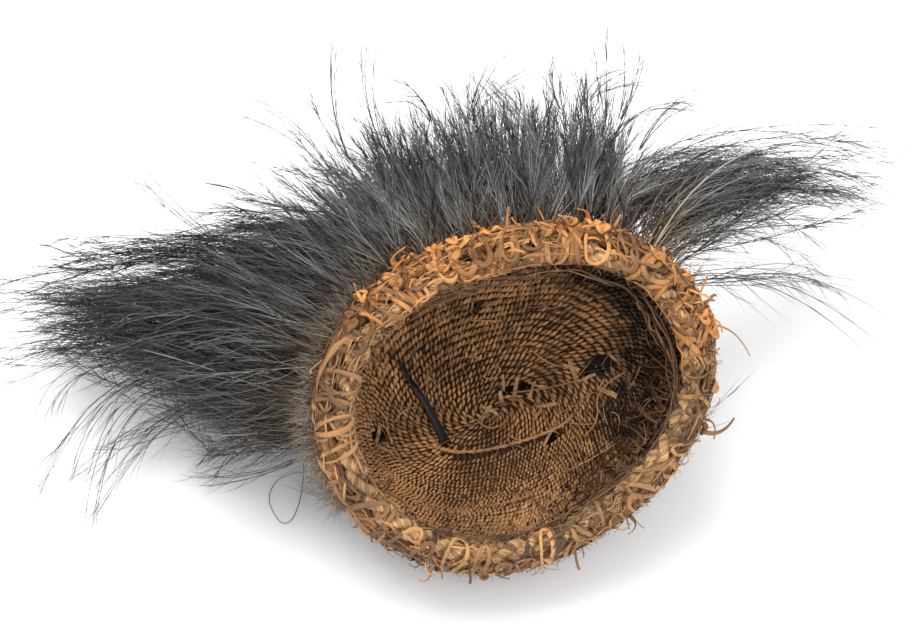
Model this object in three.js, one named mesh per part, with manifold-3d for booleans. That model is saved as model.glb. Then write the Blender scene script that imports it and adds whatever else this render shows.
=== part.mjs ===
// A feathered headdress cap, lying on its crown with the head opening turned up and forwards.
// A deep oval cap of looped cord has a rim of two rolls bound together with split vine. Its outside
// is covered with dark feathers, tied on in bunches, which spread on the surface that it lies on.
// Millimetres, +Z up, the opening faces -Y and up. The origin is the middle of the footprint.

import * as THREE from "three";
import { mergeVertices } from "three/addons/utils/BufferGeometryUtils.js";
import Module from "manifold-3d";

const wasm = await Module();
wasm.setup();

// ---- Driving dimensions ----

const CAP_TILT = 39; // degrees of the opening's axis above the level
const RIM_HEIGHT = 104; // centre of the rim above the floor
const RIM = { reach: 96, oval: 9, ovalAt: 15, corner: 2, cornerAt: 22 }; // outside of the bound rim
const WALL = 4; // looped cord cloth
const WALL_INSET = 11; // from the outside of the rim to the outside of the wall at its edge
const GAP = 0.5; // between neighbouring pieces

const CORD = { inset: 15, lift: 3.4, radius: 4.8, lobe: 0.12, twists: 22 }; // pale two-ply cord
const ROLL = { inset: 6.8, lift: -5.2, radius: 5.6, lobe: 0.09, twists: 19 }; // bundle of vine outside it
const BINDING = { turns: 16, perTurn: 8, width: 4.4, thick: 1.3, clear: 0.5 }; // split vine round both

// The outside of the wall: how far down from the rim, and how far out as a share of the rim's wall.
const PROFILE = [
  { down: 13.2, reach: 1 },
  { down: 24, reach: 1.025 },
  { down: 38, reach: 1 },
  { down: 54, reach: 0.9 },
  { down: 70, reach: 0.71 },
  { down: 82, reach: 0.42 },
  { down: 87, reach: 0 },
];

// Torn places in the wall: where round the cap, how far along the profile, and their size.
const HOLES = [
  { around: 354, along: 0.715, long: 22, wide: 9, turn: 60 },
  { around: 310, along: 0.9, long: 24, wide: 4.5, turn: 40 },
  { around: 200, along: 0.62, long: 13, wide: 7, turn: -64 },
  { around: 303, along: 0.695, long: 9, wide: 5, turn: 0 },
  { around: 101, along: 0.8, long: 8, wide: 5, turn: 0 },
];

// A lock of feathers, from root to tip: its width as a share of the bunch's own.
const LOCK_SHAPE = [
  { at: 0, width: 0.7 },
  { at: 0.25, width: 1 },
  { at: 0.55, width: 0.95 },
  { at: 0.8, width: 0.58 },
  { at: 1, width: 0.05 },
];

// Bunches of feathers. from and to are degrees round the cap, and top and low are shares along the
// profile. A lock leaves along the wall's normal, leaning as lean says, and bends to its tip. The
// tips of a bunch follow its edge, given across the floor from the rim's centre and up from the floor.
const BUNCHES = [
  {
    name: "plume_right",
    from: 46, to: 22, top: 0.3, low: 0.52, across: 4, rows: 2, width: 17, thick: 11,
    lean: [0.3, 0.5, 0.05],
    edge: [[194, 147, 85], [251, 175, 58], [265, 163, 42], [241, 153, 32]],
  },
  {
    name: "feathers_left",
    from: 198, to: 152, top: 0.12, low: 0.5, across: 5, rows: 2, width: 34, thick: 16,
    lean: [-0.5, 0.35, 0.05],
    edge: [[-165, 94, -30], [-213, 138, -8], [-266, 167, 26], [-238, 162, 60]],
  },
  {
    name: "feathers_upper_left",
    from: 150, to: 114, top: 0.12, low: 0.5, across: 4, rows: 2, width: 36, thick: 17,
    lean: [-0.1, 0.35, 0.25],
    edge: [[-226, 154, 75], [-175, 148, 100], [-119, 147, 125], [-61, 152, 150]],
  },
  {
    name: "feathers_top",
    from: 108, to: 44, top: 0.12, low: 0.5, across: 5, rows: 2, width: 36, thick: 17,
    lean: [0, 0.45, 0.3],
    edge: [[-44, 145, 160], [-2, 141, 175], [44, 134, 190], [100, 136, 185]],
  },
  {
    name: "feathers_back",
    from: -8, to: 182, top: 0.6, low: 0.86, across: 6, rows: 1, width: 40, thick: 20,
    lean: [0, 0.7, -0.1],
    edge: [[108, 170, -40], [38, 200, -40], [-58, 200, -40], [-130, 170, -40]],
  },
  {
    name: "feathers_under",
    from: 226, to: 340, top: 0.2, low: 0.78, across: 6, rows: 1, width: 36, thick: 16,
    lean: [0, 0.9, -0.2],
    edge: [[-105, 60, -8], [-45, 50, -8], [40, 50, -8], [115, 75, -4]],
  },
];

const BACKING = { near: 1.6, far: 5, steps: 4 }; // felted roots of a bunch, off the wall

const TINTS = {
  cord: { color: 0xb99a70, roughness: 0.9 },
  vine: { color: 0xc0863f, roughness: 0.7 },
  cloth: { color: 0x8a5a2e, roughness: 0.95 },
  feather: { color: 0x2e2d2d, roughness: 0.6 },
  quill: { color: 0x17130f, roughness: 0.45 },
};

// ---- Small helpers ----

const rad = THREE.MathUtils.degToRad;
const { lerp, smoothstep } = THREE.MathUtils;

// Repeatable irregularity from -1 to 1.
function wobble(seed) {
  const s = Math.sin(seed * 12.9898 + 4.1) * 43758.5453;
  return 2 * (s - Math.floor(s)) - 1;
}

function material(tint) {
  return new THREE.MeshStandardMaterial({ ...TINTS[tint], metalness: 0, flatShading: true });
}

function namedMesh(name, geometry, tint) {
  const mesh = new THREE.Mesh(geometry, material(tint));
  mesh.name = name;
  return mesh;
}

// Six times the volume that a mesh's faces enclose; it is negative where they face inwards.
function enclosed(points, faces) {
  let sum = 0;
  const across = new THREE.Vector3();
  for (let i = 0; i < faces.length; i += 3) {
    across.crossVectors(points[faces[i + 1]], points[faces[i + 2]]);
    sum += points[faces[i]].dot(across);
  }
  return sum;
}

// A closed body through rings of equally many points. Its ends are capped by a zigzag across the
// ring, or joined in a loop.
function loft(rings, looped = false) {
  const sides = rings[0].length;
  const points = rings.flat();
  const faces = [];
  const last = looped ? rings.length : rings.length - 1;
  for (let i = 0; i < last; i++) {
    const here = i * sides;
    const next = ((i + 1) % rings.length) * sides;
    for (let k = 0; k < sides; k++) {
      const k2 = (k + 1) % sides;
      faces.push(here + k, here + k2, next + k2, here + k, next + k2, next + k);
    }
  }
  if (!looped) {
    const end = (rings.length - 1) * sides;
    for (let k = 0, m = sides - 1; k + 1 < m; k++, m--) {
      faces.push(k, m, k + 1, end + k, end + k + 1, end + m);
      if (k + 2 < m) faces.push(k + 1, m, m - 1, end + k + 1, end + m - 1, end + m);
    }
  }
  if (enclosed(points, faces) < 0) faces.reverse();
  const geometry = new THREE.BufferGeometry().setFromPoints(points);
  geometry.setIndex(faces);
  return geometry;
}

function solidOf(geometry) {
  const bare = geometry.clone();
  bare.deleteAttribute("normal");
  bare.deleteAttribute("uv");
  const merged = mergeVertices(bare, 1e-3);
  return new wasm.Manifold(
    new wasm.Mesh({
      numProp: 3,
      vertProperties: new Float32Array(merged.attributes.position.array),
      triVerts: new Uint32Array(merged.index.array),
    }),
  );
}

function geometryOf(solid) {
  const { vertProperties, triVerts, numProp, numVert } = solid.getMesh();
  const places = new Float32Array(numVert * 3);
  for (let i = 0; i < numVert; i++)
    places.set(vertProperties.subarray(i * numProp, i * numProp + 3), i * 3);
  const geometry = new THREE.BufferGeometry();
  geometry.setAttribute("position", new THREE.BufferAttribute(places, 3));
  geometry.setIndex(new THREE.BufferAttribute(new Uint32Array(triVerts), 1));
  return geometry;
}

function joined(solids) {
  return solids.reduce((all, one) => all.add(one));
}

function largestBody(solid) {
  return solid.decompose().sort((a, b) => b.volume() - a.volume())[0];
}

// ---- The cap's own frame: the rim lies in XY, the opening faces +Z and the crown is at -Z ----

const capFrame = new THREE.Matrix4()
  .makeRotationX(rad(90 - CAP_TILT))
  .setPosition(0, 0, RIM_HEIGHT);
const openingAxis = new THREE.Vector3(0, 0, 1).transformDirection(capFrame);

// Distance from the cap's axis to the outside of the bound rim.
function rimReach(theta) {
  const { reach, oval, ovalAt, corner, cornerAt } = RIM;
  return (
    reach +
    oval * Math.cos(2 * (theta - rad(ovalAt))) +
    corner * Math.cos(3 * (theta - rad(cornerAt)))
  );
}

const profileCurve = new THREE.SplineCurve(
  PROFILE.map((row) => new THREE.Vector2(row.reach, -row.down)),
);

// The profile at a share along it. It meets the axis level, so the crown has no point.
function profileAt(along) {
  return profileCurve.getPoint(THREE.MathUtils.clamp(along, 0, 1));
}

function wallSkin(theta, along) {
  const { x: reach, y: down } = profileAt(along);
  const r = (rimReach(theta) - WALL_INSET) * Math.max(reach, 0);
  return new THREE.Vector3(r * Math.cos(theta), r * Math.sin(theta), down);
}

// The wall's outward normal, in the cap's frame.
function wallNormal(theta, along) {
  const step = 0.01;
  const a = Math.min(along, 0.985);
  const round = wallSkin(theta + step, a).sub(wallSkin(theta - step, a));
  const down = wallSkin(theta, a + step).sub(wallSkin(theta, a - step));
  const normal = new THREE.Vector3().crossVectors(down, round).normalize();
  const pole = smoothstep(along, 0.93, 1);
  return normal.lerp(new THREE.Vector3(0, 0, -1), pole).normalize();
}

// A point off the wall's outside by out, or inside it where out is negative.
function wallPoint(theta, along, out = 0) {
  return wallSkin(theta, along).addScaledVector(wallNormal(theta, along), out);
}

// A solid bowl under a surface that stands out from the wall, closed over the opening.
function bowl(out, lid, segments = 32, steps = 8) {
  const rings = [];
  for (let j = 0; j <= steps; j++) {
    const along = (j / steps) * 0.985;
    const ring = [];
    for (let i = 0; i < segments; i++) {
      const point = wallPoint((i / segments) * 2 * Math.PI, along, out);
      if (j === 0) point.z = lid;
      ring.push(point);
    }
    rings.push(ring);
  }
  return solidOf(loft(rings));
}

// ---- Looped cord cap ----

function capShell() {
  const outside = bowl(0, -PROFILE[0].down);
  const hollow = bowl(-WALL, 6);
  const torn = HOLES.map((hole) => {
    const theta = rad(hole.around);
    const rings = [];
    const middle = wallSkin(theta, hole.along);
    const normal = wallNormal(theta, hole.along);
    const round = new THREE.Vector3(-Math.sin(theta), Math.cos(theta), 0);
    const up = new THREE.Vector3().crossVectors(normal, round).normalize();
    const turned = rad(hole.turn);
    for (const depth of [-3 * WALL, 3 * WALL]) {
      const ring = [];
      for (let k = 0; k < 6; k++) {
        const angle = (k / 6) * 2 * Math.PI;
        const ragged = 1 + 0.16 * wobble(k + hole.around);
        const a = (hole.long / 2) * ragged * Math.cos(angle);
        const b = (hole.wide / 2) * ragged * Math.sin(angle);
        ring.push(
          middle
            .clone()
            .addScaledVector(round, a * Math.cos(turned) - b * Math.sin(turned))
            .addScaledVector(up, a * Math.sin(turned) + b * Math.cos(turned))
            .addScaledVector(normal, depth),
        );
      }
      rings.push(ring);
    }
    return solidOf(loft(rings));
  });
  return largestBody(torn.reduce((wall, hole) => wall.subtract(hole), outside.subtract(hollow)));
}

// ---- Rim: a cord and a roll side by side, bound with split vine ----

// A cord that runs round the rim. Its section has two lobes, which turn as its plies do.
function rimCord({ inset, lift, radius, lobe, twists }, steps, sides = 6) {
  const rings = [];
  for (let i = 0; i < steps; i++) {
    const theta = (i / steps) * 2 * Math.PI;
    const ring = [];
    for (let k = 0; k < sides; k++) {
      const beta = (k / sides) * 2 * Math.PI;
      const r = radius * (1 + lobe * Math.cos(2 * beta - twists * theta));
      const reach = rimReach(theta) - inset + r * Math.cos(beta);
      ring.push(
        new THREE.Vector3(
          reach * Math.cos(theta),
          reach * Math.sin(theta),
          lift + r * Math.sin(beta),
        ),
      );
    }
    rings.push(ring);
  }
  return loft(rings, true);
}

// The way round both rolls at a turn of 0 to 1: two half circles and the straight lines between them.
function aroundRolls(turn, stand) {
  const inner = new THREE.Vector2(-CORD.inset, CORD.lift);
  const outer = new THREE.Vector2(-ROLL.inset, ROLL.lift);
  const across = outer.clone().sub(inner);
  const heading = Math.atan2(across.y, across.x);
  const angle = turn * 2 * Math.PI;
  const onOuter = Math.cos(angle) > 0;
  const middle = onOuter ? outer : inner;
  const roll = onOuter ? ROLL : CORD;
  const fullest = roll.radius * (1 + roll.lobe);
  const radius = (fullest + BINDING.clear) / Math.cos(Math.PI / BINDING.perTurn) + stand;
  return new THREE.Vector2(
    middle.x + radius * Math.cos(angle + heading),
    middle.y + radius * Math.sin(angle + heading),
  );
}

// One strip of vine, wound round and round the rim until it meets itself.
function rimBinding() {
  const steps = BINDING.turns * BINDING.perTurn;
  const rings = [];
  for (let i = 0; i < steps; i++) {
    const turn = (i + 0.5) / BINDING.perTurn;
    const theta = (turn / BINDING.turns) * 2 * Math.PI;
    const half = BINDING.width / 2 / RIM.reach;
    const ring = [];
    for (const [side, stand] of [[-1, 0], [1, 0], [1, 1], [-1, 1]]) {
      const at = theta + side * half;
      const place = aroundRolls(turn % 1, stand * BINDING.thick);
      const reach = rimReach(at) + place.x;
      ring.push(new THREE.Vector3(reach * Math.cos(at), reach * Math.sin(at), place.y));
    }
    rings.push(ring);
  }
  return loft(rings, true);
}

// ---- Broken quill, left pushed through the inside of the cap ----

const QUILL = { length: 54, thick: 5, thin: 1.8, sides: 6 };

function quill() {
  const rings = [];
  for (const share of [0, 0.25, 0.55, 0.8, 1]) {
    const radius = lerp(QUILL.thick, QUILL.thin, share) / 2;
    const bend = 1.6 * Math.sin(share * Math.PI);
    const ring = [];
    for (let k = 0; k < QUILL.sides; k++) {
      const beta = (k / QUILL.sides) * 2 * Math.PI;
      ring.push(
        new THREE.Vector3(
          bend + radius * Math.cos(beta),
          0.8 * radius * Math.sin(beta),
          share * QUILL.length,
        ),
      );
    }
    rings.push(ring);
  }
  return loft(rings);
}

// ---- Feathers ----

const upward = new THREE.Vector3(0, 0, 1);
const FLOOR_LIFT = 3; // a lock's middle stays this far above the floor
const BEND = 0.35; // share of a lock's length after which it turns from its start to its tip

// A lock leaves its root along start and bends to its tip, lying down where it meets the floor.
function lockPoint({ root, bend, tip }, t) {
  const point = root
    .clone()
    .multiplyScalar((1 - t) * (1 - t))
    .addScaledVector(bend, 2 * t * (1 - t))
    .addScaledVector(tip, t * t);
  point.z = Math.max(point.z, FLOOR_LIFT);
  return point;
}

function lockSolid(lock, grow = 0) {
  const sides = 5;
  const rings = LOCK_SHAPE.map(({ at, width }) => {
    const middle = lockPoint(lock, at);
    const ahead = lockPoint(lock, Math.min(at + 0.02, 1));
    const behind = lockPoint(lock, Math.max(at - 0.02, 0));
    const heading = ahead.sub(behind).normalize();
    const side = new THREE.Vector3().crossVectors(heading, openingAxis).normalize();
    const up = new THREE.Vector3().crossVectors(side, heading);
    const ring = [];
    for (let k = 0; k < sides; k++) {
      const beta = ((k + 0.5) / sides) * 2 * Math.PI;
      const a = (lock.width * width) / 2 + grow;
      const b = (lock.thick * width) / 2 + grow;
      ring.push(
        middle
          .clone()
          .addScaledVector(side, a * Math.cos(beta))
          .addScaledVector(up, b * Math.sin(beta)),
      );
    }
    return ring;
  });
  return solidOf(loft(rings));
}

function locksOf(bunch, index) {
  const locks = [];
  const edge = new THREE.CatmullRomCurve3(bunch.edge.map((place) => new THREE.Vector3(...place)));
  for (let row = 0; row < bunch.rows; row++) {
    for (let i = 0; i < bunch.across; i++) {
      const seed = index * 100 + row * 20 + i;
      const share = (i + (row % 2 ? 0.65 : 0.35)) / bunch.across;
      const theta = rad(lerp(bunch.from, bunch.to, share));
      const along = lerp(bunch.top, bunch.low, (row + 0.5) / bunch.rows);
      const normal = wallNormal(theta, along).transformDirection(capFrame);
      const start = normal.add(new THREE.Vector3(...bunch.lean)).normalize();
      const root = wallPoint(theta, along, 3.5).applyMatrix4(capFrame);
      const full = edge.getPoint((i + 0.5 * (row % 2)) / (bunch.across - 0.5));
      const tip = root.clone().lerp(full, 0.94 + 0.06 * wobble(seed) - 0.08 * row);
      const bend = root.clone().addScaledVector(start, BEND * root.distanceTo(tip));
      locks.push({ root, bend, tip, width: bunch.width, thick: bunch.thick });
    }
  }
  return locks;
}

// The felted roots: a patch of thick skin between the bunch's ends.
function backingSolid(bunch, grow = 0) {
  const rings = [];
  const low = Math.min(bunch.low + 0.05, 0.97);
  const span = Math.abs(bunch.to - bunch.from);
  const columns = Math.max(3, Math.round(span / 16));
  const edge = grow / RIM.reach;
  for (let i = 0; i <= columns; i++) {
    const end = i === 0 ? -1 : i === columns ? 1 : 0;
    const outward = end * edge * Math.sign(bunch.to - bunch.from);
    const theta = rad(lerp(bunch.from, bunch.to, i / columns)) + outward;
    const ring = [];
    for (let j = 0; j <= BACKING.steps; j++)
      ring.push(wallPoint(theta, lerp(bunch.top, low, j / BACKING.steps), BACKING.far + grow));
    for (let j = BACKING.steps; j >= 0; j--)
      ring.push(wallPoint(theta, lerp(bunch.top, low, j / BACKING.steps), BACKING.near - grow));
    rings.push(ring.map((point) => point.applyMatrix4(capFrame)));
  }
  return solidOf(loft(rings));
}

// A wide slab below the floor, which presses the feathers flat.
function belowFloor() {
  const depth = 200;
  const slab = new THREE.BoxGeometry(1200, 1200, depth);
  slab.translate(0, 0, -depth / 2);
  return solidOf(slab);
}

function inRoom(geometry) {
  return solidOf(geometry.clone().applyMatrix4(capFrame));
}

function featherSolids() {
  const clear = bowl(GAP, 40);
  const keepOut = [
    inRoom(geometryOf(clear)),
    inRoom(rimCord({ ...ROLL, radius: ROLL.radius + 2 * BINDING.thick + GAP, lobe: 0 }, 48)),
    belowFloor(),
  ];
  const solids = [];
  let taken = joined(keepOut);
  BUNCHES.forEach((bunch, index) => {
    const locks = locksOf(bunch, index);
    const body = joined([backingSolid(bunch), ...locks.map((lock) => lockSolid(lock))]);
    solids.push({ name: bunch.name, solid: largestBody(body.subtract(taken)) });
    const grown = joined([backingSolid(bunch, GAP), ...locks.map((lock) => lockSolid(lock, GAP))]);
    taken = joined([taken, body, grown]);
  });
  return solids;
}

// ---- Assembly ----

const cap = new THREE.Group();
cap.applyMatrix4(capFrame);
cap.add(namedMesh("cap_shell", geometryOf(capShell()), "cloth"));
cap.add(namedMesh("rim_cord", rimCord(CORD, 72), "cord"));
cap.add(namedMesh("rim_roll", rimCord(ROLL, 54), "vine"));
cap.add(namedMesh("rim_binding", rimBinding(), "vine"));

const quillMesh = namedMesh("broken_quill", quill(), "quill");
const quillFoot = wallPoint(rad(232), 0.75, -WALL - 3.2);
const quillTip = wallPoint(rad(165), 0.72, -WALL - 3);
quillMesh.position.copy(quillFoot);
quillMesh.quaternion.setFromUnitVectors(upward, quillTip.sub(quillFoot).normalize());
cap.add(quillMesh);

const feathers = new THREE.Group();
for (const { name, solid } of featherSolids()) feathers.add(namedMesh(name, geometryOf(solid), "feather"));

const headdress = new THREE.Group();
headdress.add(cap, feathers);

// The origin is the middle of the footprint.
const reach = new THREE.Box3().setFromObject(headdress, true);
const middle = reach.getCenter(new THREE.Vector3());
headdress.position.set(-middle.x, -middle.y, -reach.min.z);

export default headdress;
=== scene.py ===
# %% [markdown]
# # A feathered headdress
# The real object is a deep cap of twisted cord, worked row by row round and round. Its rim is a pale
# two-ply cord and a roll of split vine, bound together with flat strips of vine. Outside, hundreds
# of black hair-like feathers are tied on. It lies on its crown, with the opening turned up and
# forwards. Each cell below adds one layer, from the wall outwards, over the plain solids of a fixed
# model that gives every size and place.

# %% Load the fixed model
import math
import bpy
import numpy as np
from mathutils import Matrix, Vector


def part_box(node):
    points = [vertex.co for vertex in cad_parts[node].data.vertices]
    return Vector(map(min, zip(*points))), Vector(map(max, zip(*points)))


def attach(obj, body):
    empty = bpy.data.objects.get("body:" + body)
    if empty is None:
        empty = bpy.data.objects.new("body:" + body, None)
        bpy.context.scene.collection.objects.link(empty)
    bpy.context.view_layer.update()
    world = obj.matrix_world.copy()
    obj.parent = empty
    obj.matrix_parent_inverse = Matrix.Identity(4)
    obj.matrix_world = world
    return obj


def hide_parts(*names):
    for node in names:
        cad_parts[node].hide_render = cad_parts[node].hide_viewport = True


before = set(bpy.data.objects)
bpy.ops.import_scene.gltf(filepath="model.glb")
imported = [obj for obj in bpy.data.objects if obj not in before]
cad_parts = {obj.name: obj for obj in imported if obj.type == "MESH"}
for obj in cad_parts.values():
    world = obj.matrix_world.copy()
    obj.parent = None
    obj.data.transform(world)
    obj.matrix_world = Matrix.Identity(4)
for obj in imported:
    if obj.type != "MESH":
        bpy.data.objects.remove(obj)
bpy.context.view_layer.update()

# %% [markdown]
# ## The cap's own frame
# It is far easier to place stitches on a bowl if the bowl stands straight. So all points are first
# worked out in the cap's own frame, in millimetres: the rim lies in XY, the opening faces +Z, and
# the crown is at -Z. One function then turns them into the room. The same few numbers shaped the
# solids, so the layers fit over them. The one thing that they don't give is where the model was
# centred, and a ring of known shape, compared with its box, gives that.

# %% The cap's sizes
MM = 0.001
TILT = math.radians(39)  # of the opening's axis above the level
ACROSS = np.array([1.0, 0.0, 0.0])
UP_THE_RIM = np.array([0.0, math.sin(TILT), math.cos(TILT)])
OPENING = np.array([0.0, -math.cos(TILT), math.sin(TILT)])
WALL_INSET = 11.0  # from the outside of the rim to the outside of the wall
CORD = {"inset": 15.0, "lift": 3.4, "radius": 4.8}
ROLL = {"inset": 6.8, "lift": -5.2, "radius": 5.6}
CORD_TURNS = 22  # of the pale cord's two plies, on the way round


def polar(reach, theta, height):
    """Points at a reach from the cap's axis, an angle round it and a height along it."""
    return np.stack([reach * np.cos(theta), reach * np.sin(theta), height], -1)


def round_turn(count):
    """Equal steps of angle, once round."""
    return np.arange(count) / count * 2 * np.pi


def rim_reach(theta):
    """Distance from the cap's axis to the outside of the bound rim."""
    oval = 9.0 * np.cos(2 * (theta - math.radians(15)))
    corner = 2.0 * np.cos(3 * (theta - math.radians(22)))
    return 96.0 + oval + corner


print("the rim's reach in mm, all round:", rim_reach(round_turn(8)).round(1))


# %% Turn the cap's frame into the room
def turned(points):
    """Directions of the cap's frame, in the room."""
    points = np.asarray(points, float)
    return points[..., :1] * ACROSS + points[..., 1:2] * UP_THE_RIM + points[..., 2:3] * OPENING


def known_ring():
    """The solid rim cord's own corners: 72 rings of six, with two lobes that turn."""
    theta = round_turn(72)[:, None]
    beta = round_turn(6)[None, :]
    r = CORD["radius"] * (1 + 0.12 * np.cos(2 * beta - CORD_TURNS * theta))
    reach = rim_reach(theta) - CORD["inset"] + r * np.cos(beta)
    return polar(reach, theta, CORD["lift"] + r * np.sin(beta))


ring_low = turned(known_ring()).reshape(-1, 3).min(0)
rim_centre = np.array(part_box("rim_cord")[0]) / MM - ring_low
print("rim centre in mm:", rim_centre.round(2))


def to_room(points):
    """Points of the cap's frame, in the room's millimetres."""
    return rim_centre + turned(points)


# %% [markdown]
# ## The camera, the floor and the light
# The view comes first, because it says what will be seen. The camera stands well back with a long
# lens, above and in front, and looks into the opening. The floor is a wide white sheet. A white sky
# lights everything softly, and one big lamp behind on the left gives the faint shadows their side.

# %% Camera
VIEW_TURN = math.radians(-11)
VIEW_RISE = math.radians(50)
CAMERA_AWAY = 1086.5  # millimetres, from the point that it looks at
AIM_RIGHT, AIM_UP = -28.5, 41.0  # where that point lies from the rim's centre, in the view
right = np.array([math.cos(VIEW_TURN), math.sin(VIEW_TURN), 0.0])
back = np.array([
    math.sin(VIEW_TURN) * math.cos(VIEW_RISE),
    -math.cos(VIEW_TURN) * math.cos(VIEW_RISE),
    math.sin(VIEW_RISE),
])
upwards = np.cross(back, right)
aim = rim_centre + AIM_RIGHT * right + AIM_UP * upwards
camera_data = bpy.data.cameras.new("camera")
camera_data.lens = 85.0
camera_data.clip_end = 50.0
camera = bpy.data.objects.new("camera", camera_data)
camera.location = Vector((aim + CAMERA_AWAY * back) * MM)
camera.rotation_euler = Vector(-back).to_track_quat("-Z", "Y").to_euler()
bpy.context.scene.collection.objects.link(camera)
bpy.context.scene.camera = camera
print("camera at", [round(x, 3) for x in camera.location])

# %% Floor
bpy.ops.object.select_all(action="DESELECT")
bpy.ops.mesh.primitive_plane_add(size=8.0, location=(0, 0, 0))
floor = bpy.context.object
floor.name = "floor"
paper = bpy.data.materials.new("white_paper")
paper.use_nodes = True
paper_shader = paper.node_tree.nodes["Principled BSDF"]
paper_shader.inputs["Base Color"].default_value = (0.9, 0.9, 0.91, 1)
paper_shader.inputs["Roughness"].default_value = 0.9
floor.data.materials.append(paper)
print("floor: 8 metres of white paper")

# %% Sky and lamps
sky = bpy.data.worlds.new("white_sky")
sky.use_nodes = True
sky.node_tree.nodes["Background"].inputs["Color"].default_value = (1, 1, 1, 1)
sky.node_tree.nodes["Background"].inputs["Strength"].default_value = 1.1
bpy.context.scene.world = sky
bpy.context.scene.view_settings.view_transform = "Standard"


def soft_lamp(name, place, size, watts):
    lamp = bpy.data.lights.new(name, "AREA")
    lamp.shape = "DISK"
    lamp.size = size
    lamp.energy = watts
    holder = bpy.data.objects.new(name, lamp)
    holder.location = place
    holder.rotation_euler = Vector(-Vector(place)).to_track_quat("-Z", "Y").to_euler()
    bpy.context.scene.collection.objects.link(holder)


soft_lamp("big_lamp", (-0.55, 0.35, 2.3), 1.7, 38.0)
soft_lamp("front_fill", (0.2, -1.5, 2.0), 1.2, 14.0)
print("lights: a white sky and two soft lamps")

# %% [markdown]
# ## A wall that every layer can be laid on
# The bowl is one curve, drawn from the rim to the crown, that is carried round an oval. Spinning it
# would make a plain circle, so a function gives the point at any angle and any share of the way
# down, and how far off the skin it stands.

# %% The bowl as a function
PROFILE = np.array([
    (13.2, 1.0), (24, 1.025), (38, 1.0), (54, 0.9), (70, 0.71), (82, 0.42), (87, 0.0),
])  # how far down, and how far out as a share of the rim's wall


def through(rows, share):
    """A smooth curve through rows of numbers, at shares of 0 to 1 along it."""
    rows = np.asarray(rows, float)
    last = len(rows) - 1
    at = np.clip(np.asarray(share, float), 0, 1) * last
    i = np.minimum(at.astype(int), last - 1)
    t = (at - i)[..., None]
    p0, p1, p2, p3 = (rows[np.clip(i + k, 0, last)] for k in (-1, 0, 1, 2))
    v0 = (p2 - p0) / 2
    v1 = (p3 - p1) / 2
    return (2 * p1 - 2 * p2 + v0 + v1) * t**3 + (3 * p2 - 3 * p1 - 2 * v0 - v1) * t**2 + v0 * t + p1


def smooth(x):
    """0 to 1 with a soft start and a soft end."""
    x = np.clip(x, 0, 1)
    return x * x * (3 - 2 * x)


def unit(vectors):
    return vectors / np.maximum(np.linalg.norm(vectors, axis=-1, keepdims=True), 1e-9)


def wall_skin(theta, along):
    """The outside of the wall at an angle, and at a share of 0 to 1 from the rim to the crown."""
    theta, along = np.broadcast_arrays(np.asarray(theta, float), np.asarray(along, float))
    row = through(PROFILE, along)
    reach = (rim_reach(theta) - WALL_INSET) * np.maximum(row[..., 1], 0)
    return polar(reach, theta, -row[..., 0])


def wall_normal(theta, along):
    """The way that the wall faces, outwards. Close to the crown it turns to point straight down."""
    theta, along = np.broadcast_arrays(np.asarray(theta, float), np.asarray(along, float))
    low = np.minimum(along, 0.985)
    step = 0.01
    round_it = wall_skin(theta + step, low) - wall_skin(theta - step, low)
    down_it = wall_skin(theta, low + step) - wall_skin(theta, low - step)
    normal = unit(np.cross(down_it, round_it))
    pole = smooth((along - 0.93) / 0.07)[..., None]
    return unit(normal * (1 - pole) + np.array([0, 0, -1.0]) * pole)


def wall_point(theta, along, out=0.0):
    """A point that stands out millimetres off the wall; below 0 it stands inside the cap."""
    out = np.asarray(out, float)
    return wall_skin(theta, along) + wall_normal(theta, along) * out[..., None]


print("crown, in the cap's frame:", wall_point(0.0, 1.0).round(1))

# %% [markdown]
# ## Strands
# Nearly everything here is a strand: cord, stitch, strip, fibre or feather. Modelling thousands by
# hand is out of reach, so one helper turns lines into tubes, many at a time, straight into a single
# mesh. Each tube is a row of small rings. Its texture map tells the material two things: across is
# the strand's own tone, and up is how far along the strand a point lies.

# %% Tubes from lines
def tubes(lines, radius, sides=3, flat=1.0, face=None):
    """Rings round lines (N, K, 3). flat is the thickness as a share of the width, and face, the way
    that the flat side looks."""
    lines = np.asarray(lines, float)
    ahead = unit(np.gradient(lines, axis=1))
    if face is None:
        face = np.zeros_like(lines) + unit(np.array([0.31, 0.2, 0.93]))  # any way that few lines take
    side = unit(np.cross(ahead, face))
    up = np.cross(ahead, side)
    radius = np.broadcast_to(radius, lines.shape[:2])[:, :, None, None]
    beta = round_turn(sides)
    a = np.cos(beta)[None, None, :, None]
    b = np.sin(beta)[None, None, :, None] * flat
    return lines[:, :, None] + radius * (a * side[:, :, None] + b * up[:, :, None])


# %% Faces of one tube
def tube_faces(steps, sides, start, end, looped):
    """Groups of faces over steps rings, and how many points a tube has with those at its ends."""
    here = np.arange(steps * sides).reshape(steps, sides)
    following = np.roll(here, -1, axis=0)
    first, last = here[0], here[-1]
    if not looped:
        here, following = here[:-1], following[:-1]
    quads = np.stack([here, np.roll(here, -1, 1), np.roll(following, -1, 1), following], -1)
    groups = [quads.reshape(-1, 4)]
    points = steps * sides
    if looped:
        return groups, points
    if start == "point":
        groups.append(np.stack([np.roll(first, -1), first, np.full(sides, points)], -1))
        points += 1
    else:
        groups.append(first[::-1][None])
    if end == "point":
        groups.append(np.stack([last, np.roll(last, -1), np.full(sides, points)], -1))
        points += 1
    else:
        groups.append(last[None])
    return groups, points


# %% One mesh from many tubes
COLUMNS = 64  # tones side by side on the texture map


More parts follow.
